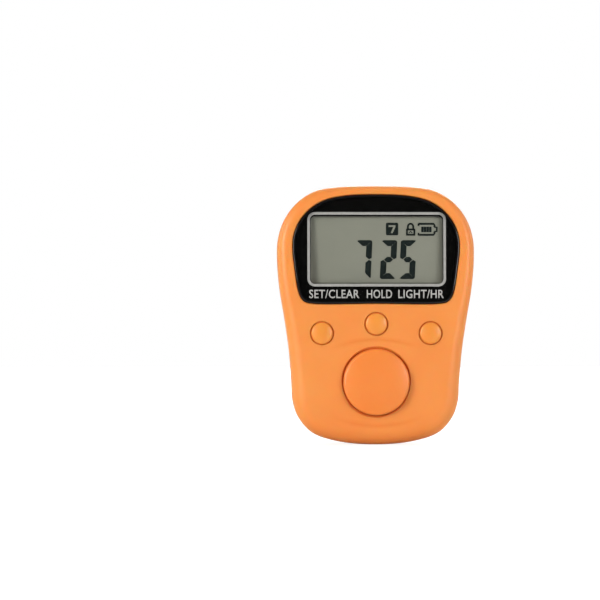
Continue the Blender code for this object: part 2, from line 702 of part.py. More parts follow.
def make_port():
    gap = -PORT_GAP
    shell = port_prism("usb_shell", gap, PORT_MOUTH, PORT_END, STEEL)
    boolean(shell, port_prism("port_bore", gap - PORT_METAL, PORT_MOUTH - 1.0, PORT_END + 1.0))
    middle, height = PORT_DEPTH, PORT_HEIGHT
    base_front, base_back = PORT_END - 2.6, PORT_END - 1.3
    base = port_prism("usb_insulator", gap - PORT_METAL - 0.05, base_front, base_back, EPOXY)
    low = (TONGUE_TIP, middle - 0.15, height - TONGUE_HALF_WIDTH)
    high = (base_back - 0.7, middle + 0.45, height + TONGUE_HALF_WIDTH)
    boolean(base, box("tongue_adder", low, high), "UNION")
    for index in range(CONTACT_COUNT):
        z = height + (index - (CONTACT_COUNT - 1) / 2) * CONTACT_PITCH
        low = (TONGUE_TIP + 0.2, middle - 0.3, z - 0.15)
        box(f"usb_contact_{index + 1}", low, (base_front - 0.1, middle - 0.17, z + 0.15), GOLD)


def screw_profile(seat, head, end, shank):
    """Pan head that sits in front of the depth `seat`, with its shank running forward to `end`."""
    back = seat + 0.9
    return [
        (0.0, end), (shank * 0.5, end), (shank, end + 0.5), (shank, seat), (head, seat),
        (head, seat + 0.45), (head * 0.8, seat + 0.78), (head * 0.5, back), (0.0, back),
    ]  # fmt: skip


def make_screw(name, centre, seat, head, end):
    screw = turned(name, screw_profile(seat, head, end, SHANK_RADIUS), centre, STEEL, 16)
    x, z = centre
    for label, half_x, half_z in (("a", 0.7, 0.14), ("b", 0.14, 0.7)):
        low = (x - half_x, seat + 0.4, z - half_z)
        high = (x + half_x, seat + 2.0, z + half_z)
        boolean(screw, box(f"{name}_slot_{label}", low, high))


def make_screws():
    for name, centre in BOARD_SCREWS.items():
        make_screw(f"board_screw_{name}", centre, BOARD_BACK + 0.04, 1.35, 3.0)
    for name, centre in CASE_SCREWS.items():
        make_screw(f"case_screw_{name}", centre, SCREW_SEAT + 0.04, 1.5, 3.0)


# ---------------------------------------------------------------- buttons and switches


def cap_profile(size):
    """Outline of a button, from the middle of its face round its flange to the tip of its post."""
    cap, face = size["cap"], size["face"]
    crown = [(0.0, face), (cap * 0.5, face + 0.02), (cap * 0.8, face + 0.1), (cap * 0.93, face + 0.27)]
    side = [(cap * 0.985, face + 0.52), (cap, face + 0.85), (cap, FLANGE_FRONT)]
    back = FLANGE_FRONT + FLANGE_THICK
    flange = [(size["flange"], FLANGE_FRONT), (size["flange"], back)]
    hollow = size["hollow"]
    root = [(size["post"] + 0.2, back)]
    if hollow:
        root = [(hollow + 0.2, back), (hollow, back - 0.2), (hollow, 0.3), (size["post"] + 0.1, 0.3)]
    post = [(size["post"], root[-1][1] + 0.2), (size["post"], POST_END), (0.0, POST_END)]
    return crown + side + flange + root + post


def make_button(name, centre, size):
    steps = 48 if size["hollow"] else 24
    turned(f"{name}_button", cap_profile(size), centre, ORANGE, steps)
    front = POST_END + PLUNGER_GAP
    plunger = size["plunger"]
    cylinder(f"{name}_plunger", plunger, front, front + PLUNGER_LENGTH, centre, WHITE, 16)
    half = size["switch"] / 2
    x, z = centre
    depths = (SWITCH_FRONT, BOARD_FRONT - SOLDER_GAP)
    low, high = (x - half, z - half), (x + half, z + half)
    body = layer(f"{name}_switch", depths, low, high, EPOXY, SWITCH_BEVEL)
    well_back = BOARD_FRONT - SWITCH_FLOOR
    boolean(body, cylinder(f"{name}_well", plunger + 0.1, 1.0, well_back, centre, segments=16))


def make_buttons():
    make_button("count", COUNT_PLACE, COUNT_SIZE)
    for name, centre in SMALL_PLACES.items():
        make_button(name, centre, SMALL_SIZE)


# ---------------------------------------------------------------- ring strap


def frame_at(curve, distance):
    """Point and direction of a (depth, z) curve at a distance along it."""
    along = lengths(curve)
    here = np.array([np.interp(distance, along, curve[:, k]) for k in range(2)])
    ahead = np.array([np.interp(distance + 0.3, along, curve[:, k]) for k in range(2)])
    behind = np.array([np.interp(distance - 0.3, along, curve[:, k]) for k in range(2)])
    direction = (ahead - behind) / np.linalg.norm(ahead - behind)
    return here, direction


def hole_tail_curve():
    return evenly(spline(HOLE_TAIL), 30)


def peg_tail_curve():
    """Runs up from its bar, then beside the other tail at a fixed distance."""
    outer = hole_tail_curve()
    total = lengths(outer)[-1]
    lapped = []
    for distance in np.linspace(total - 3.2, 12.0, 10):
        here, direction = frame_at(outer, distance)
        lapped.append(tuple(here + STRAP_STEP * np.array([direction[1], -direction[0]])))
    return evenly(spline(PEG_TAIL_LOW + lapped), 34)


def tail_section(half_width):
    """A ribbon's section as (x, height) points, its corners rounded."""
    half = STRAP_THICK / 2
    corner = min(TAIL_CORNER, half_width * 0.5)
    points = []
    for turn, (sx, sh) in enumerate(((1, 1), (1, -1), (-1, -1), (-1, 1))):
        for step in range(2):
            angle = math.pi / 2 * (1 - turn - step)
            x = sx * (half_width - corner) + corner * math.cos(angle)
            points.append((x, sh * (half - corner) + corner * math.sin(angle)))
    return points


def tail_half_width(left):
    """Half the tail's width at a distance from its free end, which is a half circle."""
    full = STRAP_WIDTH / 2
    if left >= full:
        return full
    return max(math.sqrt(full**2 - (full - left) ** 2), 0.9)


def ribbon(name, curve, outward, hinge):
    """A tail of the strap along a curve, with the bar that keeps its root in the case.

    Its origin is at (depth, z) of its hinge.
    """
    bm = bmesh.new()
    along = lengths(curve)
    stops = [s for s in along if s < along[-1] - STRAP_WIDTH / 2]
    stops += [along[-1] - STRAP_WIDTH / 2 * (1 - math.sin(a)) for a in np.linspace(0.0, math.pi / 2, 6)]
    rings = []
    for distance in stops:
        here, direction = frame_at(curve, distance)
        normal = outward * np.array([-direction[1], direction[0]])
        section = tail_section(tail_half_width(along[-1] - distance))
        points = [(x, *(here + normal * h)) for x, h in section]
        rings.append([bm.verts.new(point) for point in points])
    bridge(bm, rings)
    bm.faces.new(rings[0])
    bm.faces.new(rings[-1])
    tail = mesh_object(name, bm, ORANGE_SOFT, (0.0, *hinge))
    bar = bmesh.new()
    radius, length = TAIL_BAR_RADIUS, STRAP_WIDTH + 0.6
    bmesh.ops.create_cone(
        bar, cap_ends=True, segments=16, radius1=radius, radius2=radius, depth=length
    )
    bmesh.ops.rotate(bar, verts=bar.verts, matrix=Matrix.Rotation(math.pi / 2, 3, "Y"))
    bmesh.ops.translate(bar, verts=bar.verts, vec=(0.0, *curve[0]))
    return boolean(tail, mesh_object(f"{name}_bar", bar), "UNION")


def stand(bm, place_at, normal):
    """Stands a bmesh drawn along +Z on a point of the (depth, z) plane, along the normal."""
    turn = math.atan2(normal[1], normal[0]) - math.pi / 2
    bmesh.ops.rotate(bm, verts=bm.verts, matrix=Matrix.Rotation(turn, 3, "X"))
    bmesh.ops.translate(bm, verts=bm.verts, vec=(0.0, *place_at))


def lathe(bm, profile, steps):
    """Spins (radius, height) points about Z into a closed form."""
    edges = []
    verts = [bm.verts.new((radius, 0.0, height)) for radius, height in profile]
    for a, b in zip(verts, verts[1:]):
        edges.append(bm.edges.new((a, b)))
    bmesh.ops.spin(
        bm, geom=verts + edges, cent=(0, 0, 0), axis=(0, 0, 1), angle=2 * math.pi, steps=steps, use_merge=True
    )
    bmesh.ops.remove_doubles(bm, verts=bm.verts, dist=1e-5)


def nearest_distance(curve, point):
    along = lengths(curve)
    fine = np.linspace(0.0, along[-1], 800)
    places = np.column_stack([np.interp(fine, along, curve[:, k]) for k in range(2)])
    return float(fine[np.argmin(np.linalg.norm(places - point, axis=1))])


def hole_places(curve):
    """Point and outward normal of each hole, from the free end of its tail towards the case."""
    places = []
    for index in range(HOLE_COUNT):
        here, direction = frame_at(curve, lengths(curve)[-1] - END_TO_HOLE - HOLE_PITCH * index)
        places.append((here, np.array([-direction[1], direction[0]])))
    return places


def peg_places(curve, holes):
    """The loose peg first, then the ones that stand in the holes."""
    buttoned = [(here - STRAP_STEP * normal, normal) for here, normal in holes[:BUTTONED]]
    free = nearest_distance(curve, buttoned[0][0]) - FREE_PEG_STEP
    here, direction = frame_at(curve, free)
    return [(here, np.array([direction[1], -direction[0]])), *buttoned]


def peg_profile():
    top = STRAP_THICK / 2
    lift = top + STRAP_STEP + 0.05
    return [
        (0.0, 0.1), (NECK_RADIUS + 0.25, 0.1), (NECK_RADIUS + 0.02, top + 0.05), (NECK_RADIUS, lift),
        (HEAD_RADIUS, lift), (HEAD_RADIUS, lift + HEAD_THICK * 0.4), (HEAD_RADIUS * 0.7, lift + HEAD_THICK),
        (0.0, lift + HEAD_THICK),
    ]  # fmt: skip


def make_straps():
    hole_curve, peg_curve = hole_tail_curve(), peg_tail_curve()
    places = hole_places(hole_curve)
    pegs = ribbon("strap_with_pegs", peg_curve, -1, PEG_TAIL_HINGE)
    for index, (here, normal) in enumerate(peg_places(peg_curve, places)):
        bm = bmesh.new()
        lathe(bm, peg_profile(), 16)
        stand(bm, here, normal)
        boolean(pegs, mesh_object(f"peg_{index + 1}", bm), "UNION")
    holes = ribbon("strap_with_holes", hole_curve, 1, HOLE_TAIL_HINGE)
    for index, (here, normal) in enumerate(places):
        bm = bmesh.new()
        radius = HOLE_RADIUS
        bmesh.ops.create_cone(bm, cap_ends=True, segments=16, radius1=radius, radius2=radius, depth=4.0)
        stand(bm, here, normal)
        boolean(holes, mesh_object(f"strap_hole_{index + 1}", bm))


make_front_shell()
make_back_shell()
make_window()
make_display()
make_board()
make_battery()
make_port()
make_screws()
make_buttons()
make_straps()
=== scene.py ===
import math

import bmesh
import bpy
import numpy as np
from mathutils import Matrix, Vector


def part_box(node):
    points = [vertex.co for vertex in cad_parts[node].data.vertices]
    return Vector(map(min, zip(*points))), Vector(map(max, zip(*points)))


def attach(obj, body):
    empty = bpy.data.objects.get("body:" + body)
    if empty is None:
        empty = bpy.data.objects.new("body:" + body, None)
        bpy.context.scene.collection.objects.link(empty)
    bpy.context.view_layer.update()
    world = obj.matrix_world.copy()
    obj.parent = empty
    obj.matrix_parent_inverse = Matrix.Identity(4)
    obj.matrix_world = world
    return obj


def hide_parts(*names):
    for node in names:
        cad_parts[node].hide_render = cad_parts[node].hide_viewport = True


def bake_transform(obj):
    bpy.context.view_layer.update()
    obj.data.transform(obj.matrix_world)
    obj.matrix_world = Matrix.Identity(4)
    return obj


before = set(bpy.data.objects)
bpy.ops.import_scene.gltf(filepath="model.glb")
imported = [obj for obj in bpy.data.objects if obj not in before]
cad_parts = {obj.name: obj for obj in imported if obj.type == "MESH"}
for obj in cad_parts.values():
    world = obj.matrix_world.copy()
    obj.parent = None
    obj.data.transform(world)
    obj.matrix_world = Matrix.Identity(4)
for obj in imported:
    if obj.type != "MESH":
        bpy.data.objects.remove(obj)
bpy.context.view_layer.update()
print("frame loaded:", len(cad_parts), "nodes")

# Shapes are drawn in mm as (x, depth, z). Depth is 0 at the top of the front face and grows to the strap.
mm = 0.001
buttonFace = -1.35                                   # depth of the count button's face
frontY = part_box("count_button")[0].y - buttonFace * mm   # world y of depth 0
crispAngle = math.radians(32.0)                      # an edge that turns more than this stays crisp
curveSpans = 12                                      # straight steps between two drawn points
cornerSteps = 4                                      # straight steps round a small corner
tiny = 1e-6

studio = {
    "cameraX": -0.01219, "cameraZ": 0.02348, "distance": 0.5435, "lens": 200.0, "sensor": 36.0,
    "nearest": 0.01, "pivotDepth": 4.46, "turn": 2.0, "aim": (0.0, 0.0, 0.02),
    "floorSize": 1.2, "floorTone": (0.40, 0.40, 0.398), "floorGlow": 0.80, "floorGlowTone": (1.0, 1.0, 0.995),
    "floorBounce": (0.74, 0.74, 0.73), "floorRough": 0.85, "floorShine": 0.1, "floorCloud": 3.0,
    "skyFill": 0.29, "skyFlag": 0.05, "skySeen": 1.0, "flagFrom": -0.90, "flagTo": -0.70,
}  # fmt: skip

softboxes = {                                        # place, size, watts, colour
    "keyLeft": ((-0.52, -0.52, 0.19), (0.24, 0.34), 3.62, (1.0, 0.985, 0.95)),
    "fillRight": ((0.47, -0.53, 0.12), (0.27, 0.22), 1.92, (1.0, 0.975, 0.985)),
    "topSheet": ((0.0, 0.02, 0.62), (0.46, 0.46), 0.22, (1.0, 1.0, 1.0)),
    "sideLeft": ((-0.62, 0.12, 0.24), (0.34, 0.34), 1.0, (1.0, 0.99, 0.96)),
    "sideRight": ((0.62, 0.16, 0.24), (0.34, 0.34), 0.9, (1.0, 0.99, 0.97)),
    "backSheet": ((0.10, 0.60, 0.36), (0.40, 0.40), 3.0, (1.0, 1.0, 1.0)),
}


def addCamera():                                     # turned a little to the left about the case's middle
    data = bpy.data.cameras.new("productCamera")
    data.lens = studio["lens"]
    data.sensor_width = studio["sensor"]
    data.clip_start = studio["nearest"]
    camera = bpy.data.objects.new("productCamera", data)
    turn = math.radians(-studio["turn"])
    arm = Matrix.Rotation(turn, 4, "Z") @ Vector((studio["cameraX"], -studio["distance"], studio["cameraZ"]))
    camera.location = arm + Vector((0.0, frontY + studio["pivotDepth"] * mm, 0.0))
    camera.rotation_euler = (math.pi / 2, 0.0, turn)
    bpy.context.scene.collection.objects.link(camera)
    bpy.context.scene.camera = camera


def addSoftbox(name, place, size, watts, colour):
    data = bpy.data.lights.new(name, "AREA")
    data.shape = "RECTANGLE"
    data.size, data.size_y = size
    data.energy = watts
    data.color = colour
    lamp = bpy.data.objects.new(name, data)
    lamp.location = place
    lamp.rotation_euler = (Vector(studio["aim"]) - Vector(place)).to_track_quat("-Z", "Y").to_euler()
    bpy.context.scene.collection.objects.link(lamp)


def addNode(tree, kind, settings=None, values=None): # settings first, then a value or a link for each socket
    made = tree.nodes.new(kind)
    for key, value in (settings or {}).items():
        setattr(made, key, value)
    for key, value in (values or {}).items():
        if isinstance(value, Wire):
            value = value.socket
        if isinstance(value, bpy.types.NodeSocket):
            tree.links.new(value, made.inputs[key])
        else:
            made.inputs[key].default_value = value
    return made


class Wire:                                          # one shader output, with Python's arithmetic
    def __init__(self, look, socket):
        self.look = look
        self.socket = socket

    def math(self, operation, *values):
        return self.look.node("ShaderNodeMath", {"operation": operation}, dict(enumerate(values)))

    def __add__(self, other):
        return self.math("ADD", self, other)

    def __radd__(self, other):
        return self.math("ADD", other, self)

    def __sub__(self, other):
        return self.math("SUBTRACT", self, other)

    def __rsub__(self, other):
        return self.math("SUBTRACT", other, self)

    def __mul__(self, other):
        return self.math("MULTIPLY", self, other)

    def __rmul__(self, other):
        return self.math("MULTIPLY", other, self)

    def __truediv__(self, other):
        return self.math("DIVIDE", self, other)

    def __rtruediv__(self, other):
        return self.math("DIVIDE", other, self)

    def __gt__(self, other):
        return self.math("GREATER_THAN", self, other)

    def __abs__(self):
        return self.math("ABSOLUTE", self)

    def root(self):
        return self.math("SQRT", self)

    def fraction(self):
        return self.math("FRACT", self)

    def clamp(self):
        return self.look.node("ShaderNodeClamp", None, {"Value": self})


class Look:                                          # one material, built round its principled shader
    def __init__(self, name, fixed=None):
        self.material = bpy.data.materials.new(name)
        self.material.use_nodes = True
        self.tree = self.material.node_tree
        self.shader = self.tree.nodes["Principled BSDF"]
        for socket, value in (fixed or {}).items():
            self.shader.inputs[socket].default_value = value
        self.place = self.node("ShaderNodeTexCoord", output="Object")

    def node(self, kind, settings=None, values=None, output=0):
        return Wire(self, addNode(self.tree, kind, settings, values).outputs[output])

    def noise(self, scale, detail=2.0, stretch=(1.0, 1.0, 1.0)):
        where = self.node("ShaderNodeMapping", None, {"Vector": self.place, "Scale": stretch})
        return self.node("ShaderNodeTexNoise", None, {"Vector": where, "Scale": scale, "Detail": detail})

    def axis(self, letter):
        return self.node("ShaderNodeSeparateXYZ", None, {0: self.place}, letter)

    def blend(self, factor, first, second):
        first, second = ((*c, 1.0) if isinstance(c, tuple) else c for c in (first, second))
        return self.node("ShaderNodeMix", {"data_type": "RGBA"}, {0: factor, 6: first, 7: second}, 2)

    def bump(self, height, depth):
        return self.node("ShaderNodeBump", None, {"Height": height, "Distance": depth})

    def feed(self, **wires):
        names = {"colour": "Base Color", "rough": "Roughness", "metal": "Metallic", "normal": "Normal",
                 "alpha": "Alpha"}  # fmt: skip
        for name, wire in wires.items():
            self.tree.links.new(wire.socket, self.shader.inputs[names[name]])
        return self.material


plastics = {
    "orange_shell": {"tone": (0.870, 0.318, 0.068), "deep": (0.850, 0.285, 0.058), "cloud": 110.0,
                     "grain": 5200.0, "rough": 0.33, "roughSpread": 0.14, "relief": 0.006, "ior": 1.47,
                     "soft": 0.55},
    "orange_button": {"tone": (0.875, 0.280, 0.054), "deep": (0.860, 0.258, 0.046), "cloud": 160.0,
                      "grain": 4200.0, "rough": 0.30, "roughSpread": 0.12, "relief": 0.004, "soft": 0.55},
    "orange_small": {"tone": (0.850, 0.325, 0.056), "deep": (0.835, 0.305, 0.048), "cloud": 260.0,
                     "grain": 4200.0, "rough": 0.26, "roughSpread": 0.12, "relief": 0.004, "soft": 0.55},
    "orange_rubber": {"tone": (0.880, 0.335, 0.050), "deep": (0.855, 0.305, 0.042), "cloud": 150.0,
                      "grain": 6200.0, "rough": 0.50, "roughSpread": 0.16, "relief": 0.008, "soft": 0.18},
    # a darker, redder copy of the orange: painted shade for the walls and floors of the key gaps
    "orange_gap": {"tone": (0.880, 0.165, 0.016), "deep": (0.860, 0.150, 0.013), "cloud": 200.0,
                   "grain": 4200.0, "rough": 0.45, "roughSpread": 0.12, "relief": 0.004, "soft": 0.55},
    "white_plastic": {"tone": (0.80, 0.80, 0.77), "deep": (0.74, 0.74, 0.71), "cloud": 240.0,
                      "grain": 3600.0, "rough": 0.42, "roughSpread": 0.14, "relief": 0.005},
    "black_epoxy": {"tone": (0.016, 0.016, 0.017), "deep": (0.010, 0.010, 0.011), "cloud": 500.0,
                    "grain": 5200.0, "rough": 0.34, "roughSpread": 0.2, "relief": 0.008},
    "black_foam": {"tone": (0.030, 0.030, 0.031), "deep": (0.012, 0.012, 0.013), "cloud": 1500.0,
                   "grain": 3800.0, "rough": 0.86, "roughSpread": 0.1, "relief": 0.05},
    "capacitor": {"tone": (0.42, 0.29, 0.17), "deep": (0.34, 0.23, 0.13), "cloud": 900.0,
                  "grain": 6000.0, "rough": 0.4, "roughSpread": 0.2, "relief": 0.006},
    "red_wire": {"tone": (0.60, 0.022, 0.018), "deep": (0.48, 0.014, 0.012), "cloud": 600.0,
                 "grain": 5000.0, "rough": 0.38, "roughSpread": 0.15, "relief": 0.004},
    "black_wire": {"tone": (0.022, 0.022, 0.022), "deep": (0.012, 0.012, 0.012), "cloud": 600.0,
                   "grain": 5000.0, "rough": 0.38, "roughSpread": 0.15, "relief": 0.004},
}  # fmt: skip

metals = {
    "steel": {"tone": (0.66, 0.65, 0.63), "deep": (0.48, 0.48, 0.47), "grain": 2600.0, "cloud": 300.0,
              "stretch": (1.0, 6.0, 1.0), "rough": 0.20, "relief": 0.002},
    "port_metal": {"tone": (0.34, 0.30, 0.27), "deep": (0.21, 0.18, 0.16), "grain": 2600.0, "cloud": 420.0,
                   "stretch": (6.0, 1.0, 1.0), "rough": 0.24, "relief": 0.002},
    "gilt": {"tone": (0.90, 0.66, 0.28), "deep": (0.72, 0.49, 0.18), "grain": 3000.0, "cloud": 700.0,
             "stretch": (0.3, 1.0, 1.0), "rough": 0.18, "relief": 0.001},
    "battery_foil": {"tone": (0.66, 0.68, 0.70), "deep": (0.50, 0.52, 0.54), "grain": 700.0, "cloud": 150.0,
                     "stretch": (1.0, 1.0, 1.0), "rough": 0.28, "relief": 0.05},
    "reflector": {"tone": (0.74, 0.75, 0.74), "deep": (0.62, 0.63, 0.62), "grain": 3000.0, "cloud": 400.0,
                  "stretch": (1.0, 1.0, 1.0), "rough": 0.38, "relief": 0.003},
}  # fmt: skip

insideLight = {"radius": (1.0, 0.32, 0.10), "scale": 0.0010}    # how far light spreads inside the plastic


def mouldedPlastic(name, finish, pressed=None):      # matt spark-eroded plastic with a faint uneven tone
    look = Look(name, {"IOR": finish.get("ior", 1.46), "Subsurface Weight": finish.get("soft", 0.0),
                       "Subsurface Radius": insideLight["radius"],
                       "Subsurface Scale": insideLight["scale"]})  # fmt: skip
    cloud = look.noise(finish["cloud"], 3.0)
    grain = look.noise(finish["grain"], 2.0)
    tone = look.blend((cloud - 0.3) * 2.2, finish["deep"], finish["tone"])
    height = grain * finish["relief"]
    if pressed:
        tone, height = pressed(look, tone, height)
    rough = grain * finish["roughSpread"] + finish["rough"]
    return look.feed(colour=tone, rough=rough, normal=look.bump(height, mm))


def brushedMetal(name, finish):
    look = Look(name, {"Metallic": 1.0})
    streak = look.noise(finish["grain"], 3.0, finish["stretch"])
    cloud = look.noise(finish["cloud"], 2.0)
    tone = look.blend(streak, finish["deep"], finish["tone"])
    rough = streak * 0.12 + cloud * 0.08 + finish["rough"]
    return look.feed(colour=tone, rough=rough, normal=look.bump(streak, finish["relief"] * mm))


def lerp(first, last, start, end, t):
    return first + (last - first) * (t - start) / (end - start)


def smoothThrough(points, spans=curveSpans):         # centripetal curve through the points
    p = np.array(points, float)
    p = np.vstack([2 * p[0] - p[1], p, 2 * p[-1] - p[-2]])
    knots = np.concatenate([[0.0], np.cumsum(np.sqrt(np.linalg.norm(np.diff(p, axis=0), axis=1)))])
    out = []
    for i in range(1, len(p) - 2):
        for step in range(spans):
            t = knots[i] + (knots[i + 1] - knots[i]) * step / spans
            a = [lerp(p[i + k - 1], p[i + k], knots[i + k - 1], knots[i + k], t) for k in range(3)]
            b = [lerp(a[k], a[k + 1], knots[i + k - 1], knots[i + k + 1], t) for k in range(2)]
            out.append(lerp(b[0], b[1], knots[i], knots[i + 1], t))
    return np.array(out + [p[-2]])


def runLength(curve):
    return np.concatenate([[0.0], np.cumsum(np.linalg.norm(np.diff(curve, axis=0), axis=1))])


def evenSteps(curve, count):
    along = runLength(curve)
    wanted = np.linspace(0.0, along[-1], count)
    return np.column_stack([np.interp(wanted, along, curve[:, k]) for k in range(2)])


def mirroredLoop(halfPoints, count):                 # half outline, top to bottom, made whole
    points = [(-halfPoints[1][0], halfPoints[1][1]), *halfPoints, (-halfPoints[-2][0], halfPoints[-2][1])]
    half = evenSteps(smoothThrough(points)[curveSpans:-curveSpans], count)
    half[0, 0] = half[-1, 0] = 0.0
    return np.vstack([half, half[-2:0:-1] * np.array([-1.0, 1.0])])


def shrink(loop, amount):                            # moves each point inwards; a negative amount grows it
    tangent = np.roll(loop, -1, axis=0) - np.roll(loop, 1, axis=0)
    tangent /= np.linalg.norm(tangent, axis=1)[:, None]
    inward = np.column_stack([tangent[:, 1], -tangent[:, 0]])
    return loop + inward * np.reshape(np.broadcast_to(amount, len(loop)), (-1, 1))


def softRectangle(halfWidth, low, high, corner, centre=0.0, steps=8):
    points = []
    for turn, (side, z) in enumerate(((1, high), (1, low), (-1, low), (-1, high))):
        cx = centre + side * (halfWidth - corner)
        cz = z - corner if z == high else z + corner
        for step in range(steps + 1):
            angle = math.pi / 2 * (1 - turn - step / steps)
            points.append((cx + corner * math.cos(angle), cz + corner * math.sin(angle)))
    return np.array(points)


def roundedCorners(points, radius):                  # a polyline's inner corners turned into arcs
    out = [points[0]]
    for before, corner, after in zip(points, points[1:], points[2:]):
        b, c, a = Vector(before), Vector(corner), Vector(after)
        reach = min(radius, (b - c).length * 0.48, (a - c).length * 0.48)
        start, end = c + (b - c).normalized() * reach, c + (a - c).normalized() * reach
        for step in range(cornerSteps + 1):
            t = step / cornerSteps
            p = start * (1 - t) ** 2 + c * 2 * t * (1 - t) + end * t * t
            out.append((p.x, p.y))
    return out + [points[-1]]


def lipArc(radius, top, lip, sweep, steps):          # over a bore's mouth; a negative lip turns it round
    return [(radius + abs(lip) * (1 - math.cos(a)), top + lip * (1 - math.sin(a)))
            for a in np.linspace(0.0, math.radians(sweep), steps)]  # fmt: skip


def ringOf(bm, loop, depth):
    depths = np.broadcast_to(depth, len(loop))
    return [bm.verts.new((x, d, z)) for (x, z), d in zip(loop, depths)]


def bridge(bm, rings, closed=False):
    pairs = list(zip(rings, rings[1:] + rings[:1])) if closed else list(zip(rings, rings[1:]))
    for a, b in pairs:
        for i in range(len(a)):
            j = (i + 1) % len(a)
            corners = list(dict.fromkeys([a[i], a[j], b[j], b[i]]))
            if len(corners) > 2:
                bm.faces.new(corners)


def closeAcross(bm, ring, columns=1, depthAt=None):  # rows of cells between mirrored points
    n = len(ring)
    rows = []
    for i in range(n // 2 + 1):
        right, left = ring[i], ring[(n - i) % n]
        row = [left]
        for c in range(1, columns):
            if right is left:
                row.append(left)
                continue
            x = lerp(left.co.x, right.co.x, 0.0, 1.0, c / columns)
            y = depthAt(right.co.z) if depthAt else lerp(left.co.y, right.co.y, 0.0, 1.0, c / columns)
            row.append(bm.verts.new((x, y, right.co.z)))
        rows.append(row + [right])
    for a, b in zip(rows, rows[1:]):
        for c in range(columns):
            corners = list(dict.fromkeys([a[c], a[c + 1], b[c + 1], b[c]]))
            if len(corners) > 2:
                bm.faces.new(corners)


def turnedBody(profile, steps, centre=(0.0, 0.0), lean=0.0, pivot=0.0, closed=False):
    bm = bmesh.new()                                 # (radius, depth) turned about a line along the depth
    rings = []
    for radius, depth in profile:
        if radius < tiny:
            rings.append([bm.verts.new((0.0, depth, 0.0))] * steps)
            continue
        angles = [2 * math.pi * k / steps for k in range(steps)]
        rings.append([bm.verts.new((radius * math.cos(a), depth, radius * math.sin(a))) for a in angles])
    bridge(bm, rings, closed)
    move = Matrix.Translation((centre[0], pivot, centre[1])) @ Matrix.Rotation(lean, 4, "X")
    bm.transform(move @ Matrix.Translation((0.0, -pivot, 0.0)))
    return bm


def smoothMesh(mesh):
    mesh.shade_smooth()
    mesh.set_sharp_from_angle(angle=crispAngle)


def addObject(name, bm, look=None, world=True):      # world: from mm about depth 0 to metres in the frame
    bmesh.ops.recalc_face_normals(bm, faces=bm.faces)
    if world:
        bm.transform(Matrix.Translation((0.0, frontY, 0.0)) @ Matrix.Scale(mm, 4))
    mesh = bpy.data.meshes.new(name)
    bm.to_mesh(mesh)
    bm.free()
    smoothMesh(mesh)
    obj = bpy.data.objects.new(name, mesh)
    bpy.context.scene.collection.objects.link(obj)
    if look:
        mesh.materials.append(look)
    return obj


def loopPrism(name, loop, front, back, look=None):
    bm = bmesh.new()
    rings = [ringOf(bm, loop, front), ringOf(bm, loop, back)]
    bridge(bm, rings)
    bm.faces.new(rings[0])
    bm.faces.new(rings[1])
    return addObject(name, bm, look)


def boolean(obj, cutter, operation="DIFFERENCE"):
    modifier = obj.modifiers.new(operation.lower(), "BOOLEAN")
    modifier.operation = operation
    modifier.solver = "EXACT"
    modifier.object = cutter
    return obj


def plainMesh(obj):                                  # modifiers become plain mesh
    graph = bpy.context.evaluated_depsgraph_get()
    mesh = bpy.data.meshes.new_from_object(obj.evaluated_get(graph))
    obj.modifiers.clear()
    obj.data = mesh
    return mesh


def settle(obj, weighted=True):                      # booleans are applied, and their helpers go
    helpers = {m.object for m in obj.modifiers}
    look = obj.data.materials[0] if obj.data.materials else None
    mesh = plainMesh(obj)
    if look:
        mesh.materials.clear()
        mesh.materials.append(look)
        mesh.polygons.foreach_set("material_index", [0] * len(mesh.polygons))
    for helper in helpers:
        bpy.data.objects.remove(helper)
    smoothMesh(mesh)
    if weighted:
        weigh = obj.modifiers.new("weighted", "WEIGHTED_NORMAL")
        weigh.keep_sharp = True
        weigh.weight = 80
        mesh = plainMesh(obj)
    mesh.name = obj.name
    return obj


def onto(obj, body, slot, *nodes):                   # body it moves with, its slot, which is not used, and what it stands for
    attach(obj, body)
    if nodes:
        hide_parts(*nodes)
    return obj


def repeatTree():                                    # copies of one shape on places, each facing its own way
    tree = bpy.data.node_groups.new("repeatShape", "GeometryNodeTree")
    inputs = {"Places": "Geometry", "Shape": "Object", "Size": "Float", "Finish": "Material"}
    for label, kind in inputs.items():
        tree.interface.new_socket(label, in_out="INPUT", socket_type=f"NodeSocket{kind}")
    tree.interface.new_socket("Result", in_out="OUTPUT", socket_type="NodeSocketGeometry")
    start = addNode(tree, "NodeGroupInput").outputs
    facing = addNode(tree, "GeometryNodeInputNamedAttribute", {"data_type": "FLOAT_VECTOR"},
                     {"Name": "facing"})  # fmt: skip
    turn = addNode(tree, "FunctionNodeAlignRotationToVector", {"axis": "Z"}, {"Vector": facing.outputs[0]})
    shape = addNode(tree, "GeometryNodeObjectInfo", None, {"Object": start["Shape"]})
    copies = addNode(tree, "GeometryNodeInstanceOnPoints", None, {
        "Points": start["Places"], "Instance": shape.outputs["Geometry"],
        "Rotation": turn.outputs[0], "Scale": start["Size"]})  # fmt: skip
    solid = addNode(tree, "GeometryNodeRealizeInstances", None, {"Geometry": copies.outputs[0]})
    painted = addNode(tree, "GeometryNodeSetMaterial", None, {
        "Geometry": solid.outputs[0], "Material": start["Finish"]})  # fmt: skip
    addNode(tree, "NodeGroupOutput", None, {0: painted.outputs[0]})
    return tree


